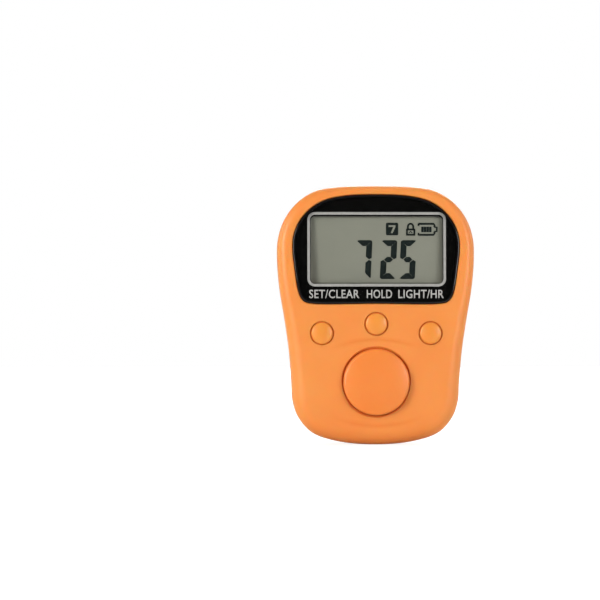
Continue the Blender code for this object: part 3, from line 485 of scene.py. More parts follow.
def repeated(name, shape, places, facings, look):
    mesh = bpy.data.meshes.new(name)
    mesh.from_pydata([tuple(p) for p in places], [], [])
    facing = mesh.attributes.new("facing", "FLOAT_VECTOR", "POINT")
    facing.data.foreach_set("vector", [value for f in facings for value in f])
    obj = bpy.data.objects.new(name, mesh)
    bpy.context.scene.collection.objects.link(obj)
    modifier = obj.modifiers.new("repeat", "NODES")
    modifier.node_group = repeatShape
    given = {"Shape": shape, "Size": 1.0, "Finish": look}
    for item in repeatShape.interface.items_tree:
        if item.in_out == "INPUT" and item.name in given:
            modifier[item.identifier] = given[item.name]
    solid = plainMesh(obj)
    solid.materials.clear()
    solid.materials.append(look)
    smoothMesh(solid)
    bpy.data.objects.remove(shape)
    return obj


def inFrame(x, depth, z):                            # mm about depth 0 to metres in the frame
    return Vector((x * mm, frontY + depth * mm, z * mm))


addCamera()
for name, softbox in softboxes.items():
    addSoftbox(name, *softbox)
looks = {name: mouldedPlastic(name, finish) for name, finish in plastics.items()}
looks.update({name: brushedMetal(name, finish) for name, finish in metals.items()})
repeatShape = repeatTree()
print("studio and", len(looks), "finishes ready")


case = {
    "seam": 4.46, "seamGap": 0.02, "seamRound": 0.05, "wall": 1.4, "innerFace": 2.1, "leastCorner": 0.6,
    "frontPast": 2.0, "backPast": 0.5, "backSkin": 1.5,
    "crest": 22.0, "radiusAbove": 200.0, "radiusBelow": 400.0, "edgeTop": 1.2, "edgeBottom": 2.6,
    "edgeHeight": 38.0, "power": 2.6, "halfSteps": 121, "columns": 36, "edgeSteps": 12, "sectionSteps": 56,
    "outline": [(0.0, 42.0), (6.4, 41.8), (9.8, 41.15), (12.7, 39.3), (14.8, 36.5), (15.8, 33.4),
                (15.95, 30.4), (15.6, 25.6), (14.7, 20.0), (14.0, 15.0), (13.6, 10.0), (13.4, 7.0),
                (12.5, 4.4), (10.3, 1.95), (6.0, 0.5), (0.0, 0.0)],
    "backLine": [(4.46, 42.0), (7.1, 41.8), (10.2, 40.5), (13.0, 37.8), (15.0, 34.4), (16.0, 31.0),
                 (15.2, 28.6), (13.2, 24.4), (12.3, 20.0), (12.3, 17.0), (13.1, 13.6), (14.6, 10.2),
                 (15.3, 8.0), (14.6, 5.2), (11.6, 2.5), (8.0, 0.75), (4.46, 0.0)],
}  # fmt: skip

seamLip = {"outer": 0.75, "inner": 1.3, "root": 1.0, "reach": 0.95, "play": 0.10, "bore": 3.0, "rebate": 4.0}
slots = {"upperSlot": 31.0, "lowerSlot": 7.4, "halfHeight": 1.2, "halfWidth": 4.75, "corner": 0.96,
         "from": 10.5, "to": 19.0}  # fmt: skip
# the oval key pad's bump, and the width, strength and darker tone of the painted shade along its foot
pad = {"centre": 10.1, "halfWide": 11.9, "halfTall": 7.02, "slope": 0.10, "lift": 0.09, "reach": 7.6,
       "fade": 4.0, "creaseShade": 0.07, "shade": 0.55, "tone": (0.790, 0.215, 0.032)}  # fmt: skip
mouth = {"lip": 0.13, "sweep": 62.0, "steps": 6, "deep": 6.0, "flare": 0.55, "above": 1.0}
sleeve = {"top": 0.12, "low": 1.3, "clear": 0.006, "thick": 0.2, "drop": 0.12, "land": 0.02}

window = {
    "outline": [(0.0, 40.6), (5.3, 40.35), (8.6, 39.55), (11.0, 38.0), (12.6, 36.0), (13.4, 33.9),
                (13.55, 31.6), (13.2, 28.4), (12.75, 25.4), (12.3, 24.0), (11.6, 23.2), (10.4, 22.9),
                (0.0, 22.9)],
    "low": 22.9, "high": 40.6, "halfSteps": 90, "thick": 0.6, "recess": 0.08, "round": 0.26, "roundSteps": 9,
    "bevel": 0.05, "rimWidth": 0.45, "clear": 0.004, "columns": 12, "ink": (0.004, 0.004, 0.004, 1.0),
    "gap": 0.05, "under": 0.16, "lip": 0.16, "sweep": 60.0, "lipSteps": 6, "flare": 0.5, "above": 1.1,
    "sightX": 0.15, "sightHalf": 10.75, "sightLow": 26.1, "sightHigh": 37.2, "sightCorner": 0.9,
    "holeMargin": 0.5, "holeCorner": 1.4, "holeEnd": 4.0,
}  # fmt: skip

smallButton = {"cap": 1.72, "hole": 1.9, "face": -0.58, "flange": 2.25, "post": 0.8, "hollow": 0.0,
               "rim": 0.26, "dome": 0.2, "power": 2.4, "step": 0.18, "holeSteps": 72, "capSteps": 80,
               "look": "orange_small"}  # fmt: skip
buttons = {
    "count": {"at": (0.0, 10.2), "cap": 5.34, "hole": 5.55, "face": buttonFace, "flange": 5.95, "post": 1.2,
              "hollow": 4.3, "rim": 0.42, "dome": 0.40, "power": 3, "step": 0.38, "holeSteps": 160,
              "capSteps": 144, "look": "orange_button"},
    "reset": {"at": (-8.8, 18.1), **smallButton},
    "lock": {"at": (0.0, 19.6), **smallButton},
    "light": {"at": (8.8, 18.1), **smallButton},
}  # fmt: skip

screws = {"case": {"x": 4.6, "z": 21.6, "seat": 9.04, "head": 1.5, "end": 3.0},
          "board": {"x": 7.7, "z": 4.2, "seat": 6.44, "head": 1.35, "end": 3.0}}  # fmt: skip
thread = {"tip": 0.36, "shoulder": 0.72, "point": 0.6, "root": 0.62, "crest": 0.74, "pitch": 0.25,
          "rise": 0.12, "plain": 0.9, "neck": 0.64, "underHead": 0.05, "steps": 40}  # fmt: skip
screwHead = {"side": 0.5, "crown": 0.55, "crownHigh": 0.9, "top": 0.92, "round": 0.34,
             "cross": (1.45, 0.3, 1.6), "crossAt": 1.2}  # fmt: skip
boss = {"radius": 2.5, "front": 6.45, "back": 11.6, "bore": 0.95, "start": 5.0, "seat": 9.0, "sink": 1.75,
        "end": 14.5, "postSteps": 48, "sinkSteps": 64}  # fmt: skip

port = {"depth": 4.25, "height": 10.45, "size": (2.7, 8.15), "chamfer": (0.95, 1.05), "corner": 0.22,
        "mouth": -13.3, "end": -8.2, "gap": 0.18, "metal": 0.16, "contacts": 5,
        "cutFrom": -17.0, "cutTo": -8.5,
        "outerLip": [(0.09, 0.0), (0.02, -0.04), (0.0, -0.09)],     # from the mouth, from the wall
        "innerLip": [(0.03, 0.02), (0.12, 0.0)]}  # fmt: skip

caseLoop = mirroredLoop(case["outline"], case["halfSteps"])
backCurve = smoothThrough(case["backLine"], 24)


def faceDepth(z):
    radius = np.where(z > case["crest"], case["radiusAbove"], case["radiusBelow"])
    return (z - case["crest"]) ** 2 / (2 * radius)


def edgeRadius(z):
    return lerp(case["edgeBottom"], case["edgeTop"], 0.0, 1.0, np.clip(z / case["edgeHeight"], 0.0, 1.0))


def backDepth(z):
    return float(np.interp(-z, -backCurve[:, 1], backCurve[:, 0]))


def frontForm(name, inset, floor, back, look=None, columns=1, steps=4):
    bm = bmesh.new()
    loop = shrink(caseLoop, inset)
    radius = np.maximum(edgeRadius(caseLoop[:, 1]) - inset, case["leastCorner"])
    bend = case["seamRound"]
    rings = []
    if look:                                         # a small round on the seam's outer edge
        rings.append(ringOf(bm, shrink(loop, bend), back))
        rings.append(ringOf(bm, shrink(loop, bend * 0.3), back - bend * 0.3))
        rings.append(ringOf(bm, loop, back - bend))
    else:
        rings.append(ringOf(bm, loop, back))
    for step in range(steps + 1):
        angle = math.pi / 2 * step / steps
        ring = shrink(loop, radius * (1 - math.cos(angle)))
        face = faceDepth(ring[:, 1]) if floor is None else floor
        rings.append(ringOf(bm, ring, face + radius * (1 - math.sin(angle))))
    bridge(bm, rings)
    closeAcross(bm, rings[-1], columns, None if floor is not None else lambda z: float(faceDepth(z)))
    closeAcross(bm, rings[0])
    return addObject(name, bm, look)


def backForm(name, inset, skin, front, look=None, steps=14):
    bm = bmesh.new()
    loop = shrink(caseLoop, inset)[: case["halfSteps"]]
    rings = []
    for halfWidth, z in loop:
        reach = max(backDepth(z) - skin - front, 0.0)
        if halfWidth < 0.01:
            rings.append([bm.verts.new((0.0, front, z))] * (steps + 1 + 2 * bool(look)))
            continue
        bend = min(case["seamRound"], reach * 0.2, halfWidth * 0.2) if look else 0.0
        ring = [(halfWidth - bend, 0.0)] if look else []
        for step in range(steps + 1):
            angle = math.pi * step / steps
            c, s = math.cos(angle), max(math.sin(angle), 0.0)
            x = math.copysign(abs(c) ** (2 / case["power"]), c) * halfWidth
            ring.append((x, bend + (reach - bend) * s ** (2 / case["power"])))
        if look:
            ring.append((bend - halfWidth, 0.0))
        rings.append([bm.verts.new((x, front + d, z)) for x, d in ring])
    bridge(bm, rings)
    return addObject(name, bm, look)


def tiltMove():                                      # leans what is drawn about depth 0 to the window
    low, high = window["low"], window["high"]
    front, rear = float(faceDepth(low)), float(faceDepth(high))
    middle = Vector((0.0, 0.0, (low + high) / 2))
    turn = Matrix.Rotation(-math.atan2(rear - front, high - low), 4, "X")
    sink = Matrix.Translation((0.0, (front + rear) / 2 + window["recess"], 0.0))
    return sink @ Matrix.Translation(middle) @ turn @ Matrix.Translation(-middle)


windowLean = tiltMove()
windowLoop = mirroredLoop(window["outline"], window["halfSteps"])


def flaredHole(radius, surface):                     # a hole whose mouth is rounded over
    arc = lipArc(radius, surface, mouth["lip"], mouth["sweep"], mouth["steps"])
    x, top = arc[-1][0] + mouth["flare"], arc[-1][1] - mouth["above"]
    return [(0.0, mouth["deep"]), (radius, mouth["deep"]), *arc, (x, top), (0.0, top)]


def windowPocket():                                  # its walls lean out at the mouth, along the bulged face
    bm = bmesh.new()
    lip = window["lip"]
    loop = shrink(windowLoop, -window["gap"])
    rings = [ringOf(bm, loop, 0.0)]
    for (x, z), vertex in zip(loop, rings[0]):
        vertex.co = windowLean @ Vector((x, window["thick"] + window["under"], z))
    for angle in np.linspace(0.0, math.radians(window["sweep"]), window["lipSteps"]):
        ring = shrink(loop, -lip * (1 - math.cos(angle)))
        rings.append(ringOf(bm, ring, faceDepth(ring[:, 1]) + lip * (1 - math.sin(angle))))
    ring = shrink(loop, -lip - window["flare"])
    rings.append(ringOf(bm, ring, faceDepth(ring[:, 1]) - window["above"]))
    bridge(bm, rings)
    closeAcross(bm, rings[0])
    closeAcross(bm, rings[-1])
    return addObject("windowPocket", bm)


def portLoop(grow):                                  # (depth, z), its two back corners cut off
    halfD, halfZ = port["size"][0] / 2 + grow, port["size"][1] / 2 + grow
    cutD, cutZ = port["chamfer"]
    half = [(-halfD, 0.0), (-halfD, halfZ), (halfD - cutD, halfZ), (halfD, halfZ - cutZ), (halfD, 0.0)]
    half = roundedCorners(half, port["corner"])
    whole = half[1:-1] + [(d, -z) for d, z in reversed(half[1:-1])]
    return [(port["depth"] + d, port["height"] + z) for d, z in whole]


def portRings(bm, stations):                         # rings of the port's outline at each x
    return [[bm.verts.new((x, d, z)) for d, z in portLoop(grow)] for x, grow in stations]


def portNotch(name):
    bm = bmesh.new()
    rings = portRings(bm, [(port["cutFrom"], 0.0), (port["cutTo"], 0.0)])
    bridge(bm, rings)
    bm.faces.new(rings[0])
    bm.faces.new(rings[-1])
    return addObject(name, bm)


def padReliefAndShade(look, tone, height):                   # the low oval pad about the keys as a bump, with painted shade along its foot
    across = look.axis("X") / mm
    up = look.axis("Z") / mm - pad["centre"]
    wide, tall = across / pad["halfWide"], up / pad["halfTall"]
    outward = (wide * wide + tall * tall).root()
    shown = ((pad["reach"] - abs(across)) / pad["fade"]).clamp()
    raised = ((1.0 - outward) / pad["slope"]).clamp() * shown
    # painted shade: a darker band along the pad's foot, where it meets the face
    creaseShade = (1.0 - abs(outward - 1.0) / pad["creaseShade"]).clamp() * shown
    return look.blend(creaseShade * pad["shade"], tone, pad["tone"]), raised * pad["lift"] + height


def makeShadedSleeve(name, size, surface, lean):           # a ring on the hole's wall in a darker, redder copy of the orange: painted shade in the gap
    top, low, wall = surface + sleeve["top"], surface + sleeve["low"], size["hole"] - sleeve["clear"]
    outer = wall + sleeve["thick"]
    profile = [(wall, top), (wall, low), (outer, low), (outer, top + sleeve["drop"]),
               (wall + sleeve["land"], top)]  # fmt: skip
    bm = turnedBody(profile, size["holeSteps"], size["at"], lean, surface, closed=True)
    onto(addObject(f"{name}HoleWall", bm, looks["orange_gap"]), "case", "orange_shell")


def makeFrontShell():
    seam, margin = case["seam"], window["holeMargin"]
    look = mouldedPlastic("orange_face", plastics["orange_shell"], padReliefAndShade)
    shell = frontForm("frontShell", 0.0, None, seam, look, case["columns"], case["edgeSteps"])
    boolean(shell, frontForm("frontCavity", case["wall"], case["innerFace"], seam + case["frontPast"]))
    lip = frontForm("seamLip", seamLip["outer"], seam - seamLip["root"], seam + seamLip["reach"])
    boolean(lip, frontForm("seamLipBore", seamLip["inner"], seam - seamLip["bore"], seam + seamLip["bore"]))
    boolean(shell, settle(lip, weighted=False), "UNION")
    for name, button in buttons.items():
        z = button["at"][1]
        surface = float(faceDepth(z))
        lean = math.atan((z - case["crest"]) / case["radiusBelow"])
        profile = flaredHole(button["hole"], surface)
        cutter = turnedBody(profile, button["holeSteps"], button["at"], lean, surface)
        boolean(shell, addObject(f"{name}Hole", cutter))
        makeShadedSleeve(name, button, surface, lean)
    boolean(shell, windowPocket())
    sight = softRectangle(window["sightHalf"] + margin, window["sightLow"] - margin,
                          window["sightHigh"] + margin, window["holeCorner"], window["sightX"])  # fmt: skip
    boolean(shell, loopPrism("sightHole", sight, 0.0, window["holeEnd"]))
    boolean(shell, portNotch("portNotchFront"))
    settle(shell)
    return onto(shell, "case", "orange_shell", "front_shell")


def slotCutter(name):
    half, tall = slots["halfWidth"], slots["halfHeight"]
    loop = softRectangle(half, slots[name] - tall, slots[name] + tall, slots["corner"])
    return loopPrism(name, loop, slots["from"], slots["to"])


def makeBackShell():
    seam, play = case["seam"], seamLip["play"]
    look = looks["orange_shell"]
    shell = backForm("backShell", 0.0, 0.0, seam + case["seamGap"], look, case["sectionSteps"])
    boolean(shell, backForm("backCavity", case["wall"], case["backSkin"], seam - case["backPast"]))
    rebateEnd = seam + seamLip["reach"] + play
    boolean(shell, frontForm("lipRebate", seamLip["outer"] - play, seam - seamLip["rebate"], rebateEnd))
    post = [(0.0, boss["front"]), (boss["radius"], boss["front"]), (boss["radius"], boss["back"]),
            (0.0, boss["back"])]  # fmt: skip
    hole = [(0.0, boss["start"]), (boss["bore"], boss["start"]), (boss["bore"], boss["seat"]),
            (boss["sink"], boss["seat"]), (boss["sink"], boss["end"]), (0.0, boss["end"])]  # fmt: skip
    for side in (-1, 1):
        at = (screws["case"]["x"] * side, screws["case"]["z"])
        boolean(shell, addObject(f"screwPost{side}", turnedBody(post, boss["postSteps"], at)), "UNION")
        boolean(shell, addObject(f"screwSink{side}", turnedBody(hole, boss["sinkSteps"], at)))
    boolean(shell, slotCutter("upperSlot"))
    boolean(shell, slotCutter("lowerSlot"))
    boolean(shell, portNotch("portNotchBack"))
    settle(shell)
    return onto(shell, "case", "orange_shell", "back_shell")


def screwProfile(size):                              # (radius, height), its seat at height 0
    head, long = size["head"], size["seat"] - size["end"]
    start = thread["point"] - long
    profile = [(0.0, -long), (thread["tip"], -long), (thread["shoulder"], start)]
    for turn in range(1, int((long - thread["plain"]) / thread["pitch"])):     # a thread as shallow rings
        low = start + turn * thread["pitch"]
        profile += [(thread["root"], low), (thread["crest"], low + thread["rise"])]
    profile += [(thread["neck"], -thread["underHead"]), (thread["neck"], 0.0), (head, 0.0)]
    return profile + roundedCorners([
        (head, 0.0), (head, screwHead["side"]), (head * screwHead["crown"], screwHead["crownHigh"]),
        (0.0, screwHead["top"])], screwHead["round"])  # fmt: skip


def makeScrews():
    for name, size in screws.items():
        bm = turnedBody(screwProfile(size), thread["steps"])
        bm.transform(Matrix.Rotation(math.pi / 2, 4, "X"))     # from the depth line to its own z
        bm.transform(Matrix.Scale(mm, 4))
        shape = addObject(f"{name}ScrewShape", bm, looks["steel"], world=False)
        for turn in (0.0, math.pi / 2):
            cross = bmesh.new()
            bmesh.ops.create_cube(cross, size=1.0)
            cross.transform(Matrix.Diagonal((*screwHead["cross"], 1.0)))
            cross.transform(Matrix.Translation((0.0, 0.0, screwHead["crossAt"])))
            cross.transform(Matrix.Scale(mm, 4) @ Matrix.Rotation(turn, 4, "Z"))
            boolean(shape, addObject(f"{name}Cross{turn:.0f}", cross, world=False))
        settle(shape, weighted=False)
        places = [inFrame(size["x"] * side, size["seat"], size["z"]) for side in (-1, 1)]
        made = repeated(f"{name}Screws", shape, places, [(0.0, 1.0, 0.0)] * 2, looks["steel"])
        onto(made, "case", "steel", f"{name}_screw_left", f"{name}_screw_right")


makeFrontShell()
print("front shell done")
makeBackShell()
makeScrews()
print("back shell and screws done")


printed = {"behind": 0.03, "thick": 0.1, "inset": 0.12, "black": (0.0030, 0.0030, 0.0028), "blackWear": 0.3,
           "silver": (0.64, 0.64, 0.615), "silverWear": 1.0, "white": (0.78, 0.78, 0.76), "whiteWear": 0.8,
           "worn": 0.72}  # fmt: skip
border = {"x": 0.125, "low": 25.69, "high": 37.77, "half": 11.245, "corner": 1.25, "line": 0.42,
          "front": 0.02, "back": 0.002}  # fmt: skip
# foam ring; its opening is set low and to the left so its edge shows as a painted shadow band at the top and
# right
gasket = {"outerHalf": 11.35, "outerLow": 25.5, "outerHigh": 37.75, "outerCorner": 1.2,
          "innerHalf": 10.86, "innerLow": 25.95, "innerHigh": 37.12, "innerCorner": 0.7, "shadowShift": -0.14,
          "front": 0.12, "back": 0.62}  # fmt: skip
labels = {"low": 23.78, "high": 25.18, "bold": 0.012, "spacing": 1.06, "thick": 0.01, "curveSteps": 4,
          "lift": 0.012, "sides": {"SET/CLEAR": (-10.84, -2.72), "HOLD": (-1.50, 2.60),
                                   "LIGHT/HR": (3.61, 11.0)}}  # fmt: skip


def printedLook(name, tone, wear):                   # screen ink: even, with a slightly broken edge
    look = Look(name, {"IOR": 1.45, "Specular IOR Level": 0.12})
    speck = look.noise(2600.0, 4.0)
    return look.feed(colour=look.blend(speck * wear, tone, tuple(v * printed["worn"] for v in tone)),
                     rough=speck * 0.12 + 0.14, normal=look.bump(speck, 0.002 * mm))  # fmt: skip


def windowLook():                                    # clear polished plastic, nearly all let through
    look = Look("clear_window", {"IOR": 1.49, "Base Color": window["ink"]})
    haze = look.noise(240.0, 3.0)
    return look.feed(alpha=haze * 0.03 + 0.09, rough=haze * 0.04 + 0.03)


def windowRimLook():                                 # the window's rounded edge, seen against the black print
    look = Look("window_rim", {"IOR": 1.49, "Base Color": window["ink"]})
    return look.feed(rough=look.noise(900.0) * 0.05 + 0.05)


def makeWindow():
    bend, wide, thick, bevel = (window[key] for key in ("round", "rimWidth", "thick", "bevel"))
    bm = bmesh.new()
    inner = shrink(windowLoop, wide)
    rings = [ringOf(bm, inner, thick), ringOf(bm, shrink(windowLoop, bevel), thick),
             ringOf(bm, windowLoop, thick - bevel)]  # fmt: skip
    for angle in np.linspace(0.0, math.pi / 2, window["roundSteps"]):
        ring = shrink(windowLoop, bend * (1 - math.cos(angle)))
        rings.append(ringOf(bm, ring, bend * (1 - math.sin(angle))))
    bridge(bm, [*rings, ringOf(bm, inner, 0.0)], closed=True)
    bm.transform(windowLean)
    onto(addObject("windowRim", bm, windowRimLook()), "case", "window")
    bm = bmesh.new()
    rings = [ringOf(bm, shrink(windowLoop, wide + window["clear"]), depth) for depth in (thick, 0.0)]
    bridge(bm, rings)
    for ring in rings:
        closeAcross(bm, ring, window["columns"])
    bm.transform(windowLean)
    onto(addObject("displayWindow", bm, windowLook()), "case", "window", "display_window")


def holedPlate(name, outer, inner, front, back, look):
    bm = bmesh.new()
    loops = []
    for loop in (outer, inner):
        rings = [ringOf(bm, loop, front), ringOf(bm, loop, back)]
        bridge(bm, rings)
        loops.append(rings)
    for side in (0, 1):
        edges = []
        for rings in loops:
            ring = rings[side]
            edges += [bm.edges.get((ring[i], ring[(i + 1) % len(ring)])) for i in range(len(ring))]
        bmesh.ops.triangle_fill(bm, use_beauty=True, edges=edges)
    bm.transform(windowLean)
    return addObject(name, bm, look)


def makePrint():
    ink = printedLook("black_ink", printed["black"], printed["blackWear"])
    silver = printedLook("silver_ink", printed["silver"], printed["silverWear"])
    back = window["thick"] + printed["behind"]
    sight = softRectangle(window["sightHalf"], window["sightLow"], window["sightHigh"],
                          window["sightCorner"], window["sightX"])  # fmt: skip
    edge = shrink(windowLoop, printed["inset"])
    onto(holedPlate("windowMask", edge, sight, back, back + printed["thick"], ink), "case", "black_print",
         "window_mask")  # fmt: skip
    line = border["line"]
    outer, inner = (softRectangle(border["half"] - w, border["low"] + w, border["high"] - w,
                                  border["corner"] - w, border["x"]) for w in (0.0, line))  # fmt: skip
    onto(holedPlate("sightBorder", outer, inner, back - border["front"], back - border["back"], silver),
         "case", "black_print")  # fmt: skip
    # black foam ring between the mask and the LCD: its walls cast real shade on the film, and its opening
    # sits low and to the left so its black edge shows as a painted shadow band along the top and right
    outer = softRectangle(gasket["outerHalf"], gasket["outerLow"], gasket["outerHigh"],
                          gasket["outerCorner"], window["sightX"])  # fmt: skip
    inner = softRectangle(gasket["innerHalf"], gasket["innerLow"], gasket["innerHigh"],
                          gasket["innerCorner"], window["sightX"] + gasket["shadowShift"])  # fmt: skip
    foam = looks["black_foam"]
    onto(holedPlate("displayGasket", outer, inner, back + gasket["front"], back + gasket["back"], foam),
         "case", "black_print")  # fmt: skip
    for text, (left, right) in labels["sides"].items():
        makeLabel(text, left, right, back - labels["lift"])


def makeLabel(text, left, right, depth):             # flat letters, stretched to the label's own box
    curve = bpy.data.curves.new(text, "FONT")
    curve.body = text
    curve.size = 1.0
    curve.offset = labels["bold"]
    curve.space_character = labels["spacing"]
    curve.extrude = labels["thick"]
    curve.resolution_u = labels["curveSteps"]
    letters = bpy.data.objects.new(text, curve)
    bpy.context.scene.collection.objects.link(letters)
    graph = bpy.context.evaluated_depsgraph_get()
    bm = bmesh.new()
    bm.from_mesh(bpy.data.meshes.new_from_object(letters.evaluated_get(graph)))
    bpy.data.objects.remove(letters)
    co = np.array([v.co for v in bm.verts])
    (x0, y0, _), (x1, y1, _) = co.min(0), co.max(0)
    wide, tall = (right - left) / (x1 - x0), (labels["high"] - labels["low"]) / (y1 - y0)
    for vertex in bm.verts:
        x, y, up = vertex.co
        vertex.co = (left + (x - x0) * wide, depth - up, labels["low"] + (y - y0) * tall)
    bmesh.ops.remove_doubles(bm, verts=bm.verts, dist=1e-5)
    bm.transform(windowLean)
    name = "label" + "".join(part.capitalize() for part in text.split("/"))
    ink = printedLook(name + "Ink", printed["white"], printed["whiteWear"])
    onto(addObject(name, bm, ink), "case", "black_print")


digits = {"low": 26.88, "high": 33.20, "width": 2.56, "stroke": 0.97, "middle": 0.88, "slant": 0.30,
          "gap": 0.05, "cut": 0.28, "thick": 0.02, "lift": 0.004,
          "right": {"7": -0.65, "2": 3.39, "5": 6.53}}  # fmt: skip
darkBars = {"7": "abc", "2": "abged", "5": "afgcd"}  # which of a digit's seven bars are dark

icons = {
    "low": 33.98, "high": 36.04, "badgeLeft": 1.68, "badgeRight": 3.69, "badgeCorner": 0.25,
    "figureThick": 0.006,
    "figure": [(0.45, 0.80), (1.55, 0.80), (1.55, 0.66), (1.10, 0.18), (0.78, 0.18), (1.20, 0.66),
               (0.45, 0.66)],                        # mm from the badge's left, share of its height
    "shackle": {"x": 5.69, "z": 35.36, "wide": 0.44, "tall": 0.5, "foot": 34.9, "stroke": 0.32},
    "padlock": [(0.31, [(4.98, 34.93), (6.43, 34.93)]), (0.31, [(4.98, 34.08), (6.43, 34.08)]),
                (0.31, [(5.10, 34.98), (5.10, 34.0)]), (0.31, [(6.31, 34.98), (6.31, 34.0)]),
                (0.18, [(5.42, 34.35), (5.70, 34.62), (5.98, 34.35)])],    # stroke, line
    "battery": [(0.34, [(6.95, 35.85), (9.45, 35.85), (9.58, 35.6), (9.58, 35.32)]),
                (0.34, [(6.95, 34.07), (9.45, 34.07), (9.58, 34.3), (9.58, 34.6)]),
                (0.32, [(9.55, 35.34), (9.95, 35.28), (9.95, 34.64), (9.55, 34.58)]),
                (0.30, [(6.98, 35.9), (6.98, 35.5)]), (0.30, [(6.98, 34.0), (6.98, 34.4)])],
    "charge": {"at": (7.62, 8.05, 8.48, 8.91), "half": 0.20, "low": 34.48, "high": 35.4, "corner": 0.03},
}  # fmt: skip

# film tones, and a painted shadow colour with where it starts at the top and right and how far it spreads
film = {"left": (0.330, 0.345, 0.277), "right": (0.372, 0.385, 0.315), "slope": 26.0,
        "haze": (0.300, 0.310, 0.250), "speck": (0.26, 0.27, 0.22), "shade": (0.050, 0.053, 0.042),
        "shadeLow": 36.35, "shadeSide": 9.95, "shadeWide": 0.85, "thick": 0.12, "corner": 0.2}  # fmt: skip
segmentTones = ((0.0012, 0.0085, 0.0072), (0.0024, 0.0105, 0.0092))


def segmentShapes():                                 # seven bars in a box as wide as a digit, from (0, 0)
    w, h, s, g = digits["width"], digits["high"] - digits["low"], digits["stroke"], digits["gap"]
    c, mid, half = digits["cut"], h / 2, digits["middle"] / 2
    top = [(g + c, h), (w - g - c, h), (w - g - 0.02, h - c * 0.4), (w - s - g * 0.4, h - s), (s + g, h - s),
           (g, h - c * 0.5)]  # fmt: skip
    side = [(w, h - c * 0.9), (w, mid + half * 0.6), (w - s * 0.45, mid + g), (w - s, mid + half + 0.05),
            (w - s, h - s - g * 0.6), (w - 0.12, h - c * 0.55)]  # fmt: skip
    bar = [(s * 0.5 + g, mid), (s + g * 0.5, mid + half), (w - s - g * 0.5, mid + half),
           (w - s * 0.5 - g, mid), (w - s - g * 0.5, mid - half), (s + g * 0.5, mid - half)]  # fmt: skip
    other = [(w - x, z) for x, z in side]
    return {"a": top, "b": side, "c": [(x, h - z) for x, z in side], "d": [(x, h - z) for x, z in top],
            "e": [(x, h - z) for x, z in other], "f": other, "g": bar}  # fmt: skip


def digitOutlines():
    shapes, tall = segmentShapes(), digits["high"] - digits["low"]
    outlines = []
    for digit, right in digits["right"].items():
        left = right - digits["width"]
        for bar in darkBars[digit]:
            outlines.append([(left + x + digits["slant"] * (z / tall - 0.5), digits["low"] + z)
                             for x, z in shapes[bar]])  # fmt: skip
    return outlines


def strip(width, points):                            # an open line given width, as one outline
    p = np.array(points, float)
    tangent = np.gradient(p, axis=0)
    tangent /= np.linalg.norm(tangent, axis=1)[:, None]
    side = np.column_stack([-tangent[:, 1], tangent[:, 0]]) * width / 2
    return [tuple(v) for v in np.vstack([p + side, (p - side)[::-1]])]


def iconOutlines():                                  # padlock, battery and badge, all dark
    bow, charge = icons["shackle"], icons["charge"]
    arc = [(bow["x"] + bow["wide"] * math.cos(a), bow["z"] + bow["tall"] * math.sin(a))
           for a in np.linspace(0.0, math.pi, 13)]  # fmt: skip
    shackle = [(bow["x"] + bow["wide"], bow["foot"]), *arc, (bow["x"] - bow["wide"], bow["foot"])]
    strokes = [(bow["stroke"], shackle), *icons["padlock"], *icons["battery"]]
    bars = [softRectangle(charge["half"], charge["low"], charge["high"], charge["corner"], x, 1)
            for x in charge["at"]]  # fmt: skip
    left, right = icons["badgeLeft"], icons["badgeRight"]
    badge = softRectangle((right - left) / 2, icons["low"], icons["high"], icons["badgeCorner"],
                          (right + left) / 2, 4)  # fmt: skip
    return [*(strip(*stroke) for stroke in strokes), *bars, badge]


def flatBars(bm, outlines, depth, thick):
    for outline in outlines:
        front = [bm.verts.new((x, depth - thick, z)) for x, z in outline]
        rear = [bm.verts.new((x, depth, z)) for x, z in outline]
        bridge(bm, [front, rear])
        bm.faces.new(front)
        bm.faces.new(rear)


def liquidLook():                                    # dark segment: bluish black, a touch uneven
    look = Look("dark_segment", {"IOR": 1.4})
    cloud = look.noise(700.0, 2.0)
    return look.feed(colour=look.blend(cloud, *segmentTones), rough=cloud * 0.1 + 0.4)


def polariserLook():                                 # grey-green film, with painted shadow under the window's top and right edges
    look = Look("grey_film", {"IOR": 1.45})
    haze = look.noise(70.0, 2.0)
    fine = look.noise(2400.0, 2.0)
    x, z = look.axis("X"), look.axis("Z")
    tone = look.blend((x * film["slope"] + 0.5).clamp(), film["left"], film["right"])
    tone = look.blend(haze * 0.35, tone, film["haze"])
    # painted shadow: the film darkens towards its top and right edges
    upper = ((z / mm - film["shadeLow"]) / film["shadeWide"]).clamp()
    right = ((x / mm - film["shadeSide"]) / film["shadeWide"]).clamp()
    tone = look.blend((upper * upper * 0.75 + right * right * 0.5).clamp(), tone, film["shade"])
    return look.feed(colour=look.blend(fine * 0.12, tone, film["speck"]), rough=fine * 0.1 + 0.42)


def makeDisplay():
    low, high = (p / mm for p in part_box("lcd_front_polariser"))
    front = (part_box("lcd_front_polariser")[0].y - frontY) / mm
    surface = front - digits["lift"]
    look = polariserLook()
    loop = softRectangle((high.x - low.x) / 2, low.z, high.z, film["corner"], (low.x + high.x) / 2, 3)
    sheet = loopPrism("displayFilm", loop, front, front + film["thick"], look)
    onto(sheet, "case", "lcd_film", "lcd_front_polariser")
    bm = bmesh.new()
    flatBars(bm, digitOutlines() + iconOutlines(), surface, digits["thick"])
    onto(addObject("displaySegments", bm, liquidLook()), "case", "lcd_film")
    tall = icons["high"] - icons["low"]
    figure = [(icons["badgeLeft"] + x, icons["low"] + tall * share) for x, share in icons["figure"]]
    bm = bmesh.new()
    flatBars(bm, [figure], surface - digits["thick"], icons["figureThick"])
    onto(addObject("badgeFigure", bm, look), "case", "lcd_film")


makeWindow()
makePrint()
makeDisplay()
print("window, print and display done")


keyForm = {"flange": 2.2, "flangeBack": 2.8, "hollowEdge": 2.6, "hollowFloor": 0.3, "post": 3.4, "ease": 0.2,
           "domeSteps": 18, "rimSteps": 9, "skirtEnd": 2.15, "skirtIn": 0.02, "skirtOut": 0.05}  # fmt: skip


